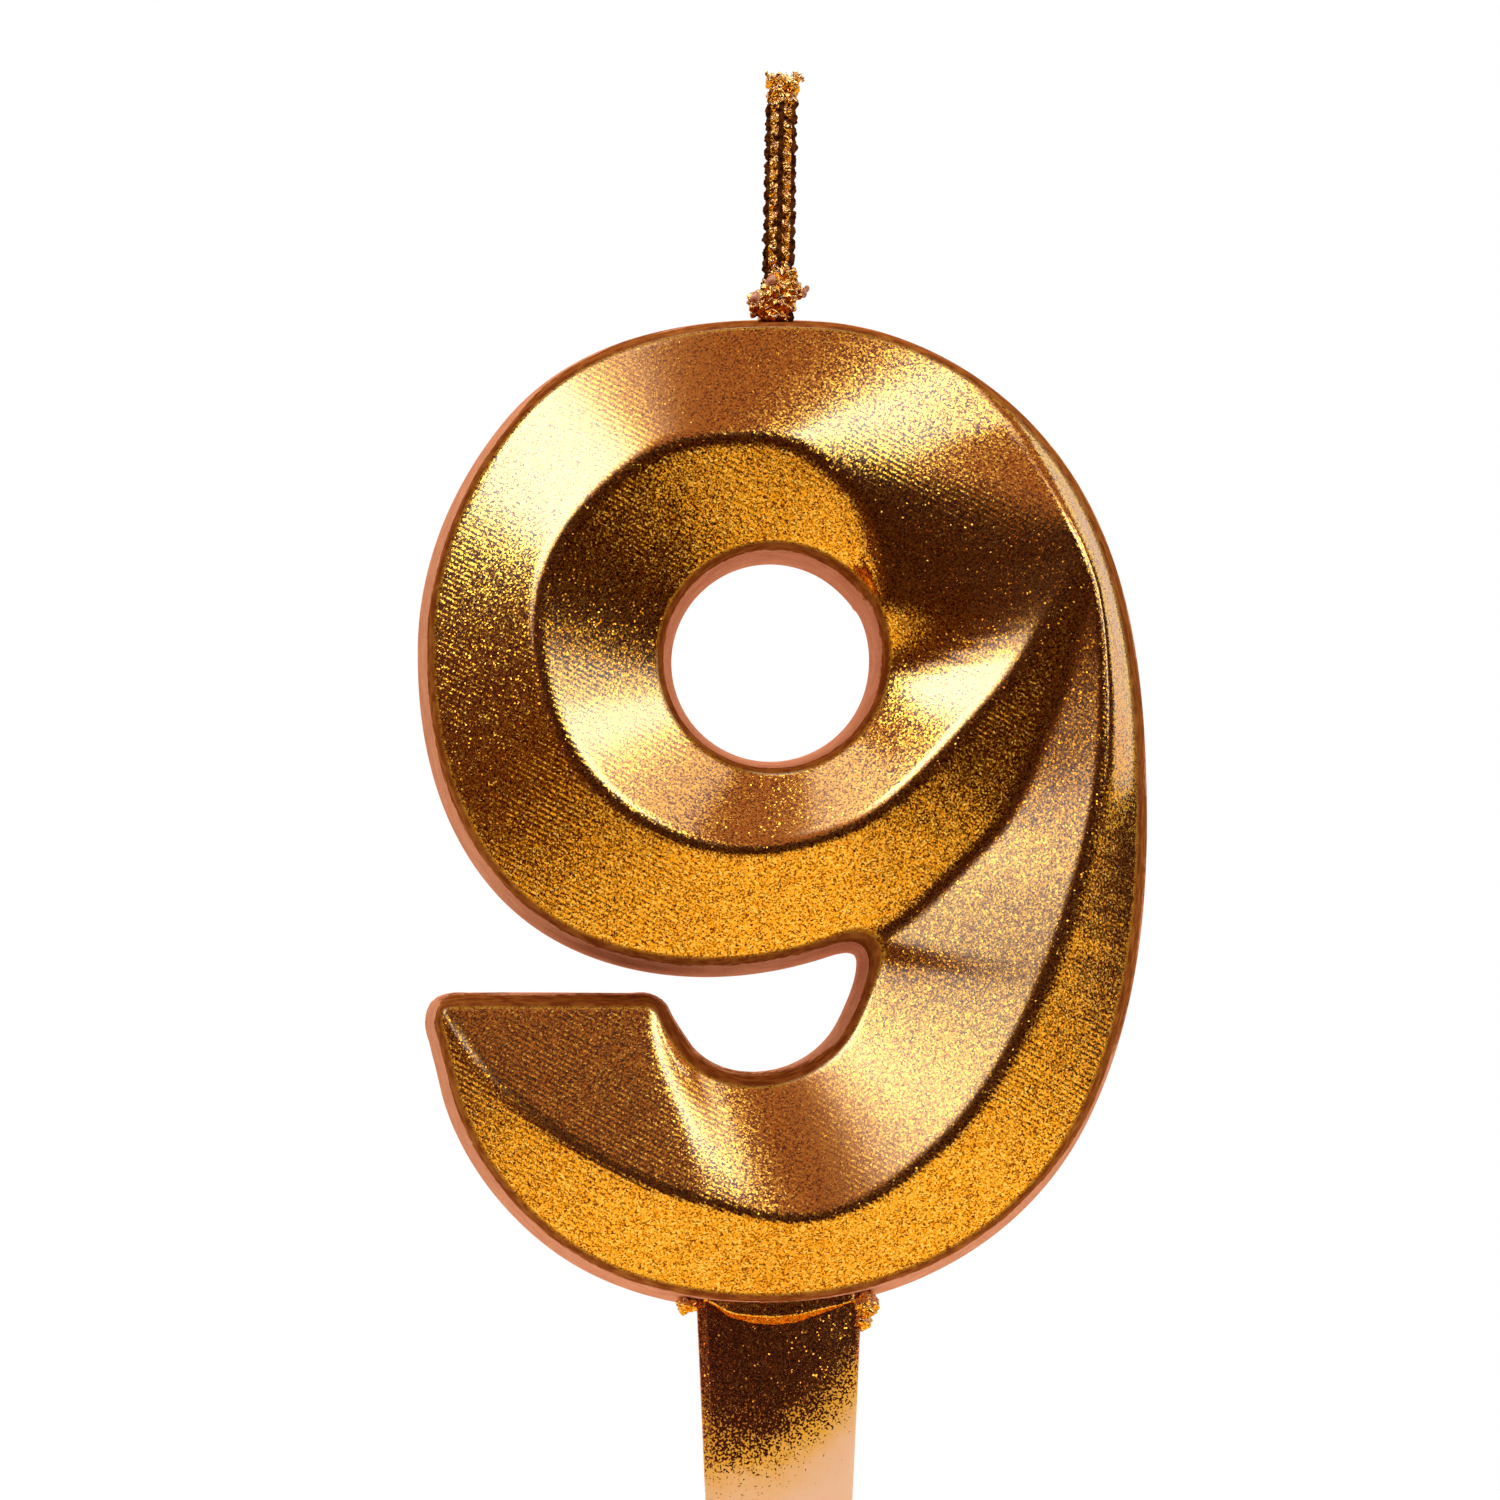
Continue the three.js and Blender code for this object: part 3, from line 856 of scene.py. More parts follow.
def inside(points: Array, loop: Array) -> Array:
    """Tells which points lie inside a closed line.

    Args:
        points: The points.
        loop: The line.

    Returns:
        True for each point inside.
    """
    result = np.zeros(len(points), dtype=bool)
    for start, end in zip(loop, np.roll(loop, -1, axis=0)):
        if start[1] == end[1]:
            continue
        crosses = (start[1] > points[:, 1]) != (end[1] > points[:, 1])
        meets = start[0] + (points[:, 1] - start[1]) * (end[0] - start[0]) / (end[1] - start[1])
        result ^= crosses & (points[:, 0] < meets)
    return result


def stood(points: Array, level: Array | float) -> Array:
    """Gives points of x and z their Y."""
    return np.column_stack([points[:, 0], np.broadcast_to(level, len(points)), points[:, 1]])


def filled(outer: Array, hole: Array, spacing: float) -> tuple[Array, Array]:
    """Fills the space between an outline and a hole with even triangles.

    Args:
        outer: Outline, counterclockwise.
        hole: Outline of the hole, counterclockwise.
        spacing: Distance between neighbouring points.

    Returns:
        The points, which start with the two outlines, and the triangles.
    """
    def between(places: Array) -> Array:
        """Tells which places lie between the two outlines."""
        return inside(places, outer) & ~inside(places, hole)

    borders = np.vstack([outer, hole])
    near = KDTree(len(borders))
    for index, (x, z) in enumerate(borders):
        near.insert((x, z, 0), index)
    near.balance()
    low, high = outer.min(axis=0), outer.max(axis=0)
    rise = spacing * math.sqrt(3) / 2
    grid = np.concatenate([
        np.stack(np.broadcast_arrays(np.arange(low[0] + (row % 2) * spacing / 2, high[0], spacing),
                                     low[1] + row * rise), axis=1)
        for row in range(int((high[1] - low[1]) / rise) + 1)])
    grid = grid[between(grid)]
    clear = [near.find((x, z, 0))[2] > 0.6 * spacing for x, z in grid]
    points = np.vstack([borders, grid[clear]])
    edges = [(first + i, first + (i + 1) % count)
             for first, count in ((0, len(outer)), (len(outer), len(hole))) for i in range(count)]
    found, _, faces, origins, _, _ = delaunay_2d_cdt([Vector(point) for point in points], edges, [], 1, 1e-9)
    if len(found) != len(points):
        log.warning("the filling changed the number of points from %d to %d", len(points), len(found))
    triangles = np.array([origin[0] for origin in origins])[np.array(faces)]
    return points, triangles[between(points[triangles].mean(axis=1))]


@dataclass(frozen=True)
class CastNumeral:
    """The cast nine: a soft ridged front, a rounded rim, drafted walls and a flat back."""

    finish: GildedWax
    node: str = "numeral_body"
    depth: float = 9 * MM
    rim_rounding: float = 0.5 * MM
    crotch_rounding: float = 1.2 * MM
    crotch: tuple[float, float] = (6.2 * MM, 71.0 * MM)
    crotch_reach: float = 1.6 * MM
    wall_draft: float = 0.86 * MM
    ridge_softness: float = 0.8 * MM
    spacing: float = 0.3 * MM
    back_spacing: float = 1.6 * MM
    back_edge: float = 0.2 * MM
    slope_step: float = 0.25 * MM
    slopes: Span = (-0.9, 0.35)
    arc_rows: int = 6
    wall_stops: tuple[float, ...] = (0.04, 0.09, 0.17, 0.3, 0.45, 0.6, 0.75, 0.88)
    paint_reach: float = 3.2 * MM
    spray: tuple[float, float] = (0.64, 0.77)
    spray_gain: float = 4.0
    # Share of the painted dark line of shade on the first row of the rounding
    spray_slope: Span = (-0.1, 0.6)
    painted_shade_line_share: float = 0.7

    def build(self) -> Object:
        """Builds the numeral from its node of the frame.

        Returns:
            The numeral.
        """
        source = merged_copy(self.node)
        low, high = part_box(self.node)
        plane = high.y - self.depth
        rim, hole = loops_at(source, plane + self.rim_rounding)[:2]
        centre, hole_radius = circle_through(hole)
        front = self._front(source, plane, centre, hole_radius)
        relief = Relief(front, low, high, plane, self.ridge_softness)
        source.free()

        rim = smooth_loop(rim, self.spacing)
        away = np.linalg.norm(rim - self.crotch, axis=1) / self.crotch_reach
        rounding = self.rim_rounding + (self.crotch_rounding - self.rim_rounding) * np.exp(-away**2)
        way = outward_of(rim)
        inner = rim - way * rounding[:, None]
        angles = np.linspace(0, TURN, int(TURN * hole_radius / self.spacing), endpoint=False)
        ring = np.stack([np.cos(angles), np.sin(angles)], axis=1)
        hole_inner = centre + ring * (hole_radius + self.rim_rounding)
        for _ in range(3):
            lean = self.wall_draft / self.depth * np.maximum(relief.at(hole_inner), 0)
            hole_inner = centre + ring * (hole_radius + lean + self.rim_rounding)[:, None]

        # Each part of the surface holds its points and their shares of paint, of worn rim with its painted
        # shade, and of the painted dark line of shade
        front, triangles = filled(inner, hole_inner, self.spacing)
        parts = [(stood(front, plane - relief.at(front)), 2.0, 0.0, 0.0)]
        faces = triangles.tolist()
        total = len(front)
        # The paint goes deeper where a wall looks up and to the right, into the spray
        sprayed = smoothly(way @ np.array(self.spray), *self.spray_slope)
        reach = self.paint_reach * (1 + self.spray_gain * sprayed)
        ends = []
        borders = ((0, inner, way, rounding, reach),
                   (len(inner), hole_inner, -ring, self.rim_rounding, self.paint_reach))
        for first, start, out, radius, depth in borders:
            last = first + np.arange(len(start))
            for part in self._edge_rows(relief, start, out, radius, depth, plane):
                index = total + np.arange(len(start))
                faces += np.column_stack([last, np.roll(last, -1), np.roll(index, -1), index]).tolist()
                parts.append(part)
                total += len(start)
                last = index
            ends.append((last, part[0][:, [0, 2]]))

        (outer_index, outer), (hole_index, hole) = ends
        back, triangles = filled(outer, hole, self.back_spacing)
        added = back[len(outer) + len(hole):]
        parts.append((stood(added, high.y), 0.0, 0.0, 0.0))
        faces += np.concatenate([outer_index, hole_index, total + np.arange(len(added))])[triangles].tolist()

        mesh = bpy.data.meshes.new("cast_numeral")
        mesh.from_pydata(np.concatenate([part[0] for part in parts]).tolist(), [], faces)
        for index, name in enumerate(("paint", "rim", "line"), start=1):
            store(mesh, name, np.concatenate([np.broadcast_to(part[index], len(part[0])) for part in parts]))
        return new_piece("cast_numeral", mesh, self.finish.build(), self.node)

    def _front(self, source: BMesh, plane: float, centre: Array, hole_radius: float) -> BVHTree:
        """Picks the faces of the front, without the roundings of the rim and of the hole.

        Args:
            source: The node's merged mesh.
            plane: Y of the plane of the rim.
            centre: Centre of the hole.
            hole_radius: Its radius within the rounding.

        Returns:
            The faces, for casting rays at.
        """
        def on_front(vertex: BMVert) -> bool:
            """Tells whether a corner belongs to the front.

            Args:
                vertex: The corner.

            Returns:
                True where it does.
            """
            height = plane - vertex.co.y
            edge = hole_radius + self.wall_draft * height / self.depth + self.rim_rounding
            return height > -NEAR and math.dist((vertex.co.x, vertex.co.z), centre) > edge - NEAR * 5

        chosen = [[v.index for v in f.verts] for f in source.faces if all(on_front(v) for v in f.verts)]
        return BVHTree.FromPolygons([v.co.copy() for v in source.verts], chosen)

    def _edge_rows(self, relief: Relief, start: Array, way: Array, radius: Array | float,
                   reach: Array | float, plane: float) -> list[tuple]:
        """Rows of points from the edge of the front, over the rounding and down the wall to the back.

        Args:
            relief: The softened front.
            start: The edge of the front.
            way: The direction out of the wax at each point.
            radius: The rounding at each point.
            reach: How deep the paint goes down the wall at each point.
            plane: Y of the plane of the rim.

        Returns:
            Each row with its shares of paint, of the worn rim with its painted shade, and of the painted dark
            line of shade along it.
        """
        def row(out: Array | float, level: Array | float, paint: Array | float = 0.0, rim: float = 0.0,
                line: float = 0.0) -> tuple:
            """Moves the points of the edge out, and places them over the rim's plane."""
            moved = start + way * np.broadcast_to(out, len(start))[:, None]
            return stood(moved, plane - level), paint, rim, line

        height = relief.at(start)
        slope = (height - relief.at(start - way * self.slope_step)) / self.slope_step
        crest = height + np.clip(slope, *self.slopes) * radius
        rows = []
        for i in range(1, self.arc_rows + 1):
            share = i / self.arc_rows
            level = height * (1 - share)**2 + crest * 2 * share * (1 - share) + (crest - radius) * share**2
            # The first row carries the painted dark line of shade; over the rounding the worn rim colour with
            # its painted shade comes in
            rows.append(row(radius * (2 * share - share**2), level, 2.0, min(1.0, share * 3),
                            self.painted_shade_line_share if i == 1 else 0.0))
        for share in (*self.wall_stops, 1 - self.back_edge / self.depth):
            level = (crest - radius) * (1 - share) - self.depth * share
            paint = np.maximum(0.0, 1.0 - share * self.depth / reach)
            rows.append(row(radius + self.wall_draft * share, level, paint, 1.0))
        for share in (0.3, 0.7, 1.0):
            turn = share * TURN / 4
            rows.append(row(radius + self.wall_draft - self.back_edge * (1 - math.cos(turn)),
                            self.back_edge * (1 - math.sin(turn)) - self.depth))
        return rows


@dataclass(frozen=True)
class Lump:
    """A rounded lump, its middle and its radii in millimetres."""

    middle: Point
    radii: Point

    def add_to(self, shape: BMesh) -> None:
        """Adds the lump to a mesh."""
        place = Matrix.Translation(self.middle) @ Matrix.Diagonal((*self.radii, 1))
        bmesh.ops.create_icosphere(shape, subdivisions=4, radius=1, matrix=place)


def crumpled(points: Array, normals: Array, cell: float, depth: float) -> Array:
    """Pushes points in and out like crumpled foil. All is in millimetres.

    Args:
        points: The points.
        normals: Their normals.
        cell: Size of a fold.
        depth: Depth of a fold.

    Returns:
        The moved points.
    """
    nearest = np.array([noise.voronoi(Vector(point) / cell)[0][:2] for point in points])
    folds = np.clip(nearest[:, 1] - nearest[:, 0], 0, 0.6) / 0.6
    return points + normals * ((folds - 0.5) * depth)[:, None]


@dataclass(frozen=True)
class SealingBead:
    """The crumpled bead of wax that seals the wick where it leaves the numeral."""

    finish: GildedLumps
    node: str = "wick_bead"
    fold: float = 0.75
    fold_depth: float = 0.40
    chip_edge: Span = (0.6, 1.4)
    lumps: tuple[Lump, ...] = (
        Lump((-0.10, 0.0, 116.8), (1.40, 1.35, 1.75)),
        Lump((-1.55, -0.3, 116.3), (0.62, 0.85, 1.05)),
        Lump((1.15, 0.0, 117.2), (0.55, 0.80, 0.85)),
        Lump((1.85, -0.2, 117.1), (0.26, 0.24, 0.50)),
        Lump((-0.25, 0.0, 115.5), (1.25, 1.15, 0.80)),
        Lump((0.30, -0.1, 118.3), (1.05, 0.85, 0.80)),
    )
    chips: tuple[Lump, ...] = (
        Lump((-0.8, -1.2, 118.0), (0.55, 0.8, 0.5)),
        Lump((-1.7, -1.1, 116.8), (0.45, 0.7, 0.5)),
        Lump((2.0, -0.3, 117.1), (0.40, 0.8, 0.5)),
    )

    def build(self) -> Object:
        """Builds the bead.

        Returns:
            The bead.
        """
        shape = bmesh.new()
        for lump in self.lumps:
            lump.add_to(shape)
        mesh, points, normals = skin_over(mesh_of(shape, "bead_lumps"))
        points = crumpled(points, normals, self.fold, self.fold_depth)
        away = [np.linalg.norm((points - chip.middle) / chip.radii, axis=1) for chip in self.chips]
        finish_skin(mesh, points, smoothly(np.min(away, axis=0), *self.chip_edge))
        return new_piece("sealing_bead", mesh, self.finish.build(), self.node)


@dataclass(frozen=True)
class WaxCollar:
    """Wax squeezed out round the pick: a thin crescent before and behind it, a tab and a drip beside it."""

    finish: GildedLumps
    node: str = "pick_collar"
    fold: float = 0.7
    fold_depth: float = 0.35
    smooth_half: Span = (4.8, 5.6)
    top: float = 46.9
    inner: float = 0.5
    pick_face: float = 1.0
    front: float = 1.75
    # Lower edge of the crescent: x, z and the height of the slope along it
    crescent: tuple[Point, ...] = (
        (-5.5, 46.4, 0.05), (-4.5, 45.95, 0.12), (-3.5, 45.15, 0.32), (-1.8, 44.72, 0.50),
        (-0.3, 44.62, 0.55), (1.3, 44.82, 0.50), (2.5, 45.25, 0.36), (4.2, 45.85, 0.15), (5.4, 46.3, 0.05),
    )
    lumps: tuple[Lump, ...] = (
        Lump((-6.35, 0.1, 46.0), (0.85, 1.5, 0.62)),
        Lump((6.05, 0.1, 46.1), (0.98, 1.7, 1.05)),
        Lump((5.85, 0.0, 45.0), (0.62, 1.1, 0.95)),
    )

    def build(self) -> Object:
        """Builds the collar.

        Returns:
            The collar.
        """
        shape = bmesh.new()
        for side in Side:
            self._add_crescent(shape, side)
        for lump in self.lumps:
            lump.add_to(shape)
        mesh, points, normals = skin_over(mesh_of(shape, "collar_lumps"))
        rough = smoothly(np.abs(points[:, 0]), *self.smooth_half)[:, None]
        points += (crumpled(points, normals, self.fold, self.fold_depth) - points) * rough
        finish_skin(mesh, points, np.ones(len(points)))
        return new_piece("wax_collar", mesh, self.finish.build(), self.node)

    def _add_crescent(self, shape: BMesh, side: Side) -> None:
        """Adds the crescent of one side of the pick.

        Args:
            shape: The mesh to add to.
            side: The side.
        """
        knots = np.array(self.crescent)
        across = np.linspace(knots[0, 0], knots[-1, 0], 90)
        lower, slope = (np.interp(across, knots[:, 0], knots[:, k]) for k in (1, 2))
        for line in (lower, slope):
            for _ in range(3):
                line[1:-1] = (line[:-2] + 2 * line[1:-1] + line[2:]) / 4
        rings = []
        for x, z, drop in zip(across, lower, slope):
            out = self.pick_face + (self.front - self.pick_face) * min(1.0, 0.25 + drop * 1.4)
            section = ((self.inner, self.top), (out, self.top), (out, z + drop), (self.pick_face, z),
                       (self.inner, z))
            rings.append([shape.verts.new((x, side.value * y, level)) for y, level in section])
        for first, second in zip(rings, rings[1:]):
            for i in range(len(first)):
                j = (i + 1) % len(first)
                shape.faces.new((first[i], first[j], second[j], second[i]))
        shape.faces.new(rings[0])
        shape.faces.new(rings[-1])
        bmesh.ops.recalc_face_normals(shape, faces=shape.faces)


@dataclass(frozen=True)
class Pick:
    """The plastic pick, with its moulded edges rounded."""

    finish: MistedPlastic
    node: str = "pick"
    edge: float = 0.12 * MM
    sharp: float = 12.0

    def build(self) -> Object:
        """Builds the pick.

        Returns:
            The pick.
        """
        shape = merged_copy(self.node)
        bmesh.ops.dissolve_limit(shape, angle_limit=0.01, verts=shape.verts, edges=shape.edges)
        sharp = [e for e in shape.edges if e.calc_face_angle(0) > math.radians(self.sharp)]
        bmesh.ops.bevel(shape, geom=sharp, offset=self.edge, offset_type="OFFSET", segments=3, profile=0.5,
                        affect="EDGES", clamp_overlap=True)
        mesh = mesh_of(shape, "pick")
        return new_piece("plastic_pick", mesh, self.finish.build(), self.node)


@dataclass(frozen=True)
class BraidedWick:
    """The flat braided wick, stiff with wax, its cut end spread and ragged. Sizes are in millimetres."""

    finish: GildedLumps
    node: str = "wick"
    foot: float = 112.6
    length: float = 19.7
    lean: float = 1.0
    foot_x: float = -0.12
    tip_x: float = 0.14
    tip_length: float = 2.5
    column_x: float = 0.46
    column_edge: Span = (0.14, 0.40)
    crest_edge: Span = (0.18, 0.5)
    tuft_edge: Span = (2.4, 1.2)
    fold: float = 0.45
    fold_depth: float = 0.13
    strand: tuple[tuple[str, float], ...] = (
        ("Strand Radius", 0.42), ("Half Width", 0.80), ("Half Depth", 0.22), ("Stitch Period", 3.0),
        ("Flare", 0.30), ("Flare Height", 1.5),
    )
    fibres: int = 34

    def build(self) -> Object:
        """Builds the wick.

        Returns:
            The wick.
        """
        dress = self.finish.build()
        values = {**dict(self.strand), "Length": self.length}
        group = self._braid_group(self._strand_group(list(values)), list(values), dress)
        values["Fibres"] = self.fibres

        def braid(made: Object) -> None:
            """Adds the braid's modifier.

            Args:
                made: The object that becomes the wick.
            """
            modifier = made.modifiers.new("braid", "NODES")
            modifier.node_group = group
            for item in group.interface.items_tree:
                if item.in_out == "INPUT" and item.name in values:
                    modifier[item.identifier] = values[item.name]

        mesh, points, normals = skin_over(evaluated(bpy.data.meshes.new("wick_seed"), braid))
        # Paint only on the crests of the two columns and on the tuft; the grooves and edges keep the dark
        # bare colour as painted shade
        crest = smoothly(np.abs(points[:, 1]), *self.crest_edge)
        column = 1 - smoothly(np.abs(np.abs(points[:, 0]) - self.column_x), *self.column_edge)
        tuft = smoothly(points[:, 2], *(self.length - edge for edge in self.tuft_edge))
        points = crumpled(points, normals, self.fold, self.fold_depth)
        rise = points[:, 2]
        tip = smoothly(rise, self.length - self.tip_length, self.length)
        points[:, 0] += self.foot_x + rise * math.tan(math.radians(self.lean)) + tip * self.tip_x
        points[:, 2] += self.foot
        finish_skin(mesh, points, 0.1 + 0.95 * np.maximum(crest * column, tuft))
        return new_piece("braided_wick", mesh, dress, self.node)

    @staticmethod
    def _strand_group(names: list[str]) -> NodeTree:
        """Builds a lobed yarn that weaves to all sides and opens at its end.

        Args:
            names: Names of its sizes.

        Returns:
            The group.
        """
        nodes, given, out = new_group(GEOMETRY, "wick_strand", dict.fromkeys(["Phase", *names], NUMBER),
                                      {"Geometry": SOLID})
        line = nodes.wire("GeometryNodeCurvePrimitiveLine", {"End": nodes.point(z=given["Length"])})
        fine = nodes.wire("GeometryNodeResampleCurve", {"Curve": line, "Count": 260})
        height = nodes.wire("GeometryNodeSplineParameter", output="Factor") * given["Length"]
        turn = height / given["Stitch Period"] * TURN + given["Phase"]
        flare_start = given["Length"] - given["Flare Height"]
        opened = nodes.math("DIVIDE", height - flare_start, given["Flare Height"], clamp=True)
        opening = opened * opened * given["Flare"] + 1.0
        side = nodes.math("SINE", turn) * given["Half Width"]
        depth = nodes.math("SINE", turn * 2.0) * given["Half Depth"]
        seat = nodes.point(given["Phase"], z=height)
        drift = nodes.wire("ShaderNodeTexNoise", {"Vector": seat, "Scale": 0.9, "Detail": 1.0}, "Color")
        wander = nodes.vector("MULTIPLY", nodes.vector("SUBTRACT", drift, HALVES), (0.22, 0.16, 0.30))
        weave = nodes.vector("ADD", nodes.point(side * opening, depth * opening), wander)
        placed = nodes.wire("GeometryNodeSetPosition", {"Geometry": fine, "Offset": weave})
        twisted = nodes.wire("GeometryNodeSetCurveTilt", {"Curve": placed, "Tilt": height * 2.4})
        radius = given["Strand Radius"]
        lobes = nodes.wire("GeometryNodeCurveStar", {"Points": 6, "Inner Radius": radius * 0.84,
                                                     "Outer Radius": radius})
        nodes.feed(out["Geometry"], nodes.wire("GeometryNodeCurveToMesh", {
            "Curve": twisted, "Profile Curve": lobes, "Fill Caps": True}))
        return nodes.tree

    @staticmethod
    def _braid_group(strand: NodeTree, names: list[str], dress: Material) -> NodeTree:
        """Builds three strands a third of a turn apart, with loose fibres over their ends.

        Args:
            strand: The group of one strand.
            names: Names of its sizes.
            dress: The material of the wick.

        Returns:
            The group.
        """
        inputs = {"Geometry": SOLID, **dict.fromkeys(names, NUMBER), "Fibres": "NodeSocketInt"}
        nodes, given, out = new_group(GEOMETRY, "braided_wick", inputs, {"Geometry": SOLID})

        def scattered(low: Value, high: Value, seed: int) -> Wire:
            """Returns a random vector for each point."""
            inputs = {0: low, 1: high, "Seed": seed}
            return nodes.wire("FunctionNodeRandomValue", inputs, data_type="FLOAT_VECTOR")

        sizes = {name: given[name] for name in names}
        parts = [nodes.wire("GeometryNodeGroup", {"Phase": third * TURN / 3, **sizes}, node_tree=strand)
                 for third in range(3)]
        reach = given["Half Width"] * 1.75
        spots = scattered(nodes.point(reach * -1.0, -0.5, given["Length"] - 0.35),
                          nodes.point(reach, 0.5, given["Length"]), 5)
        points = nodes.wire("GeometryNodePoints", {"Count": given["Fibres"], "Position": spots})
        fibre = nodes.wire("GeometryNodeMeshCone", {
            "Vertices": 8, "Radius Top": 0.05, "Radius Bottom": 0.11, "Depth": 0.42})
        parts.append(nodes.wire("GeometryNodeInstanceOnPoints", {
            "Points": points, "Instance": fibre,
            "Rotation": scattered((-0.9, -0.9, -3.0), (0.9, 0.9, 3.0), 11)}))
        join = nodes.add("GeometryNodeJoinGeometry")
        for part in parts:
            nodes.feed(join.inputs[0], part)
        real = nodes.wire("GeometryNodeRealizeInstances", {0: Wire(nodes, join.outputs[0])})
        dressed = nodes.wire("GeometryNodeSetMaterial", {"Geometry": real, "Material": dress})
        nodes.feed(out["Geometry"], dressed)
        return nodes.tree


# Studio


@dataclass(frozen=True)
class SoftBox:
    """A flat oval lamp, placed by its bearing round the line of sight and its angle off it, in degrees."""

    name: str
    bearing: float
    off_axis: float
    width: float
    height: float
    roll: float
    radiance: float

    def build(self, middle: Vector, distance: float) -> None:
        """Places the lamp and turns it to the candle.

        Args:
            middle: The candle's middle.
            distance: How far away the lamp stands.
        """
        bearing, off_axis = math.radians(self.bearing), math.radians(self.off_axis)
        way = Vector((math.sin(off_axis) * math.cos(bearing), -math.cos(off_axis),
                      math.sin(off_axis) * math.sin(bearing)))
        lamp = bpy.data.lights.new(self.name, "AREA")
        lamp.shape = "ELLIPSE"
        lamp.size = self.width
        lamp.size_y = self.height
        lamp.energy = self.radiance * math.pi * self.width * self.height * math.pi / 4
        in_scene(self.name, lamp, middle + way * distance, -way, self.roll)


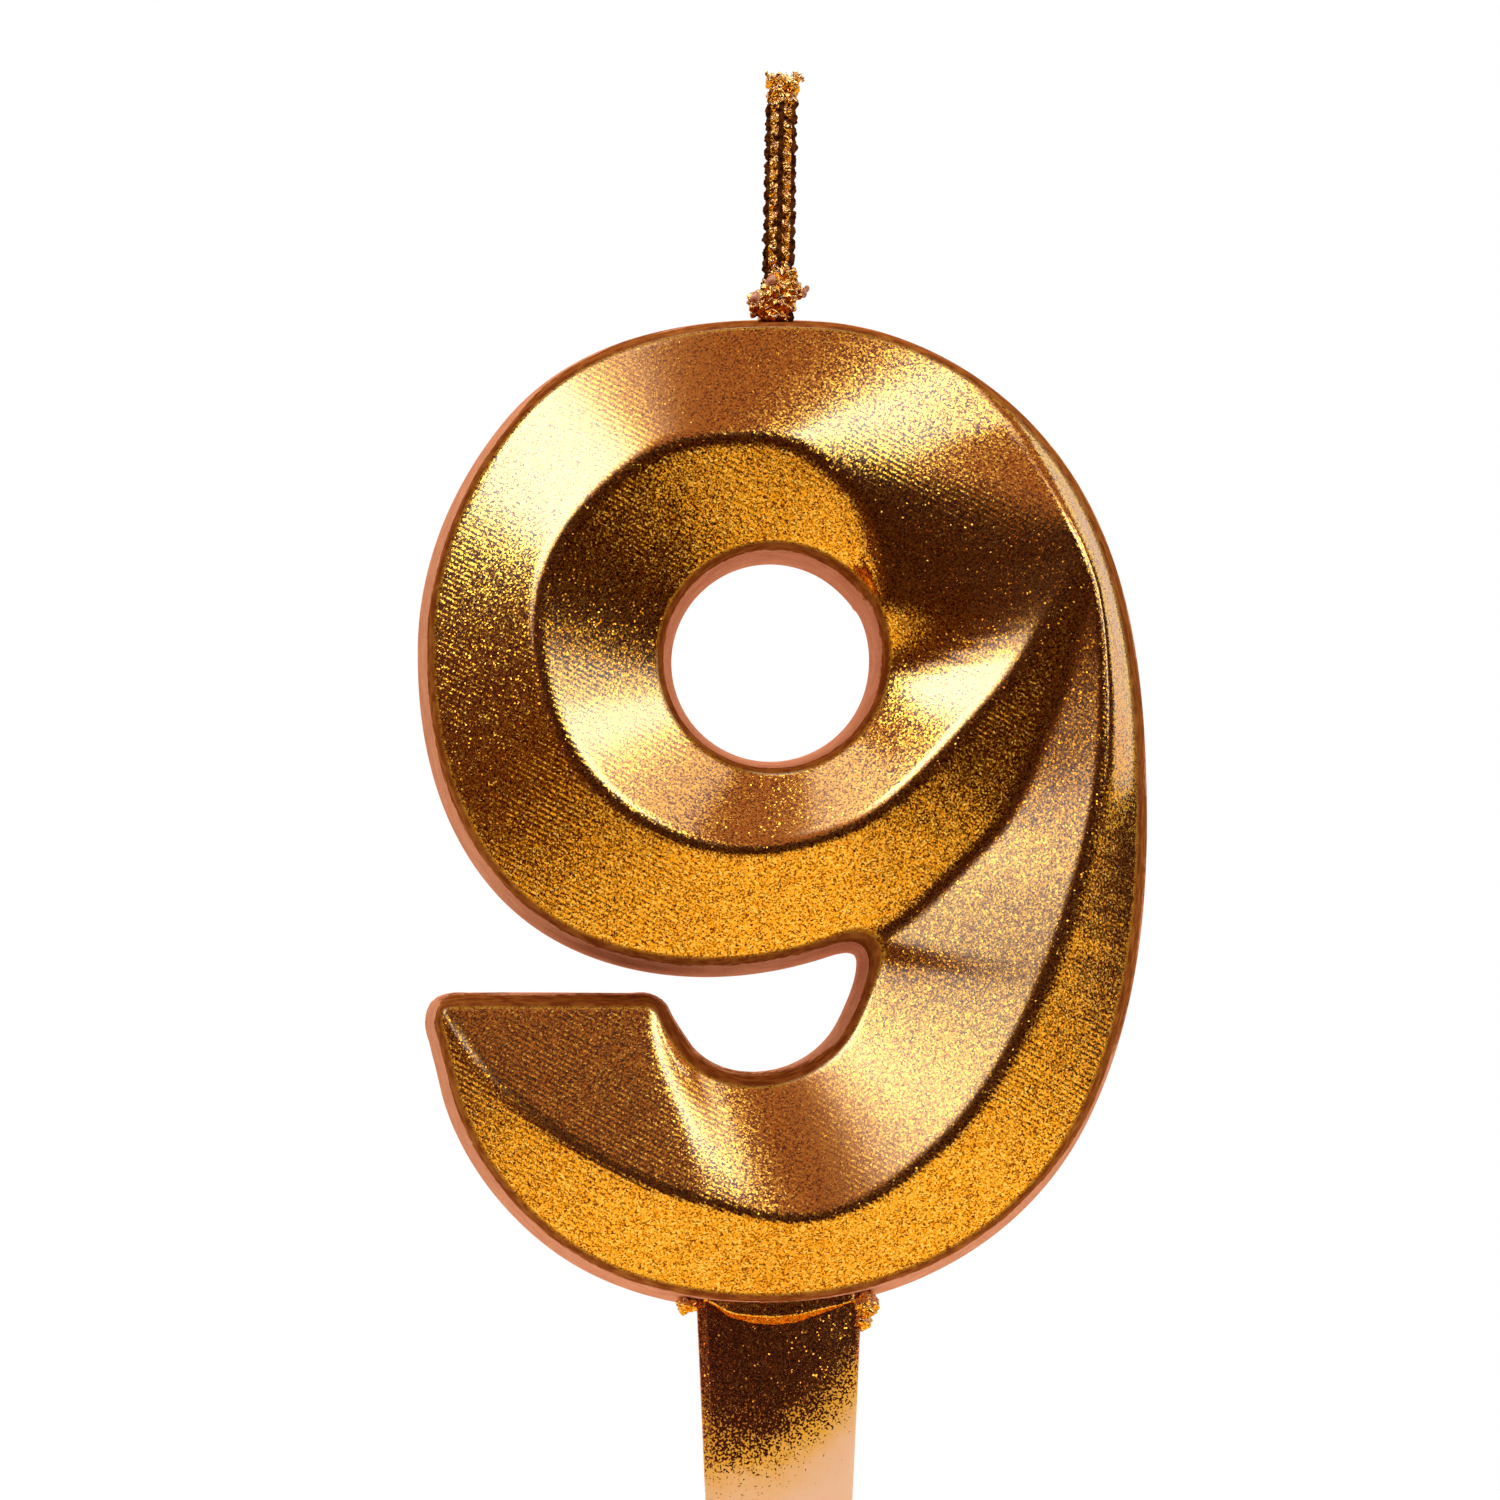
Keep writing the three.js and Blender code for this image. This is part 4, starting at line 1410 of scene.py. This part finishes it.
@dataclass(frozen=True)
class Studio:
    """Pale floor, white surroundings behind the candle, dark ones in front, soft boxes and the camera."""

    middle: Vector = field(default_factory=lambda: Vector((0, 0, 0.082)))
    camera_place: Point = (-0.02305, -0.86067, 0.05334)
    camera_target: Point = (-0.002129, -0.0045, 0.084743)
    focal_length: float = 294.7
    sensor_width: float = 36
    floor_radius: float = 0.9
    floor_middle: float = 0.62
    floor_colour: Colour = (0.92, 0.92, 0.92, 1)
    floor_roughness: float = 0.9
    far_fade: Span = (0.75, 0.97)
    near_edge: float = 0.16
    near_fade: Span = (1.3, 0.7)
    room_light: float = 1.3
    box_distance: float = 0.8
    dark_radius: float = 1.5
    dark_glow: Colour = (1.0, 0.36, 0.14, 1)
    dark_end: float = 0.3
    # Where the glow changes, as shares of the radius along X or Z, and its strength before and after
    glow_left: tuple[Span, Span] = ((-0.1, -0.5), (0.055, 0.115))
    glow_above: tuple[Span, Span] = ((0.25, 0.5), (0.0, 0.36))
    boxes: tuple[SoftBox, ...] = (
        SoftBox("right_cloth", 38, 40, 0.56, 0.42, -37, 1.1),
        SoftBox("right_middle", 40, 39, 0.40, 0.18, -25, 2.6),
        SoftBox("left_cloth", 141, 38.5, 0.36, 0.60, 0, 1.15),
        SoftBox("left_middle", 138, 44, 0.27, 0.42, 0, 2.8),
        SoftBox("upper_right_fill", 62, 54, 0.30, 0.22, 0, 0.7),
        SoftBox("upper_left_fill", 117, 61, 0.45, 0.35, 0, 0.9),
        SoftBox("overhead", 90, 96, 0.60, 0.60, 0, 4.5),
        SoftBox("right_edge", 22, 64, 0.22, 0.55, 0, 2.4),
    )

    def build(self) -> None:
        """Makes the whole studio."""
        self._world()
        self._floor()
        self._dark_surroundings()
        for box in self.boxes:
            box.build(self.middle, self.box_distance)
        self._camera()

    def _world(self) -> None:
        """A plain white world, a little brighter as a light than it shows behind the candle."""
        world = bpy.data.worlds.new("white_room")
        bpy.context.scene.world = world
        world.use_nodes = True
        nodes = Nodes(world.node_tree)
        ray = nodes.wires("ShaderNodeLightPath")
        clear = ray["Is Glossy Ray"] + ray["Is Transmission Ray"]
        seen = nodes.math("ADD", ray["Is Camera Ray"], clear, clamp=True)
        background = world.node_tree.nodes["Background"].inputs
        nodes.feed(background["Color"], (1, 1, 1, 1))
        nodes.feed(background["Strength"], nodes.span(seen, 0.0, 1.0, self.room_light, 1.0))

    def _floor(self) -> None:
        """A pale disc that keeps the candle's shadow. It ends close in front and fades out far behind."""
        shape = bmesh.new()
        bmesh.ops.create_circle(shape, cap_ends=True, segments=96, radius=self.floor_radius)
        made, nodes, shader = material("pale_floor")
        place = nodes.place()
        distance = nodes.wire("ShaderNodeVectorMath", {0: place}, "Value", operation="LENGTH")
        far = nodes.span(distance, *(self.floor_radius * share for share in self.far_fade), 1.0, 0.0)
        ends = (-self.floor_middle - self.near_edge * share for share in self.near_fade)
        near = nodes.span(nodes.apart(place)["Y"], *ends)
        nodes.feed(shader.inputs["Base Color"], self.floor_colour)
        nodes.feed(shader.inputs["Roughness"], self.floor_roughness)
        nodes.feed(shader.inputs["Alpha"], near * far)
        self._stage(shape, "floor", made, (0, self.floor_middle, 0))

    def _dark_surroundings(self) -> None:
        """A dark half sphere round the viewer's side, which the gold reflects and the camera doesn't see."""
        shape = bmesh.new()
        bmesh.ops.create_uvsphere(shape, u_segments=48, v_segments=24, radius=self.dark_radius)
        behind = [v for v in shape.verts if v.co.y > self.dark_end * self.dark_radius]
        bmesh.ops.delete(shape, geom=behind, context="VERTS")
        made, nodes, glow = material("dark_cloth", "ShaderNodeEmission")
        way = nodes.apart(nodes.place())
        left, above = (nodes.span(way[axis], *(self.dark_radius * share for share in places), *strengths)
                       for axis, (places, strengths) in (("X", self.glow_left), ("Z", self.glow_above)))
        nodes.feed(glow.inputs["Color"], self.dark_glow)
        nodes.feed(glow.inputs["Strength"], nodes.math("MAXIMUM", left, above))
        self._stage(shape, "dark_surroundings", made, self.middle).visible_camera = False

    @staticmethod
    def _stage(shape: BMesh, name: str, dress: Material, place: Vector | tuple) -> Object:
        """Puts a shape into the scene that is no part of the candle.

        Args:
            shape: The shape.
            name: Its name.
            dress: Its material.
            place: Where it stands.

        Returns:
            The object.
        """
        mesh = mesh_of(shape, name)
        mesh.materials.append(dress)
        made = in_scene(name, mesh, place)
        return made

    def _camera(self) -> None:
        """The photograph's viewpoint, through a long lens."""
        lens = bpy.data.cameras.new("camera")
        lens.lens = self.focal_length
        lens.sensor_width = self.sensor_width
        lens.sensor_fit = "HORIZONTAL"
        way = Vector(self.camera_target) - Vector(self.camera_place)
        bpy.context.scene.camera = in_scene("camera", lens, self.camera_place, way)


def main() -> None:
    """Builds the candle and its studio."""
    logging.basicConfig(level=logging.INFO, format="%(name)s: %(message)s")
    bpy.context.scene.view_settings.view_transform = "Standard"
    Studio().build()
    paint = GoldPaint(Finishes())
    CastNumeral(GildedWax(paint)).build()
    # The wick's dark bare colours stand in its grooves and edges as painted shade
    BraidedWick(GildedLumps(paint, "waxed_cotton_with_painted_shade", (0.16, 0.05, 0.012, 1), (0.03, 0.008, 0.002, 1),
                            0.035 * MM, 2200.0)).build()
    SealingBead(GildedLumps(paint, "crumpled_wax", (0.82, 0.47, 0.32, 1), (0.52, 0.20, 0.10, 1),
                            0.12 * MM, 1700.0)).build()
    WaxCollar(GildedLumps(paint, "collar_wax", (0.60, 0.28, 0.18, 1), (0.30, 0.10, 0.05, 1),
                          0.05 * MM, 1600.0)).build()
    # The pick's paint is a darker, redder copy of the gold: painted shade where its flat front reflects the
    # dark side
    Pick(MistedPlastic(replace(paint, gold=(0.80, 0.17, 0.012, 1), deep_gold=(0.09, 0.016, 0.002, 1),
                               painted_highlight_gold=(0.85, 0.36, 0.03, 1), sparkle=(0.9, 0.45, 0.06, 1)))).build()


if __name__ == "__main__":
    main()
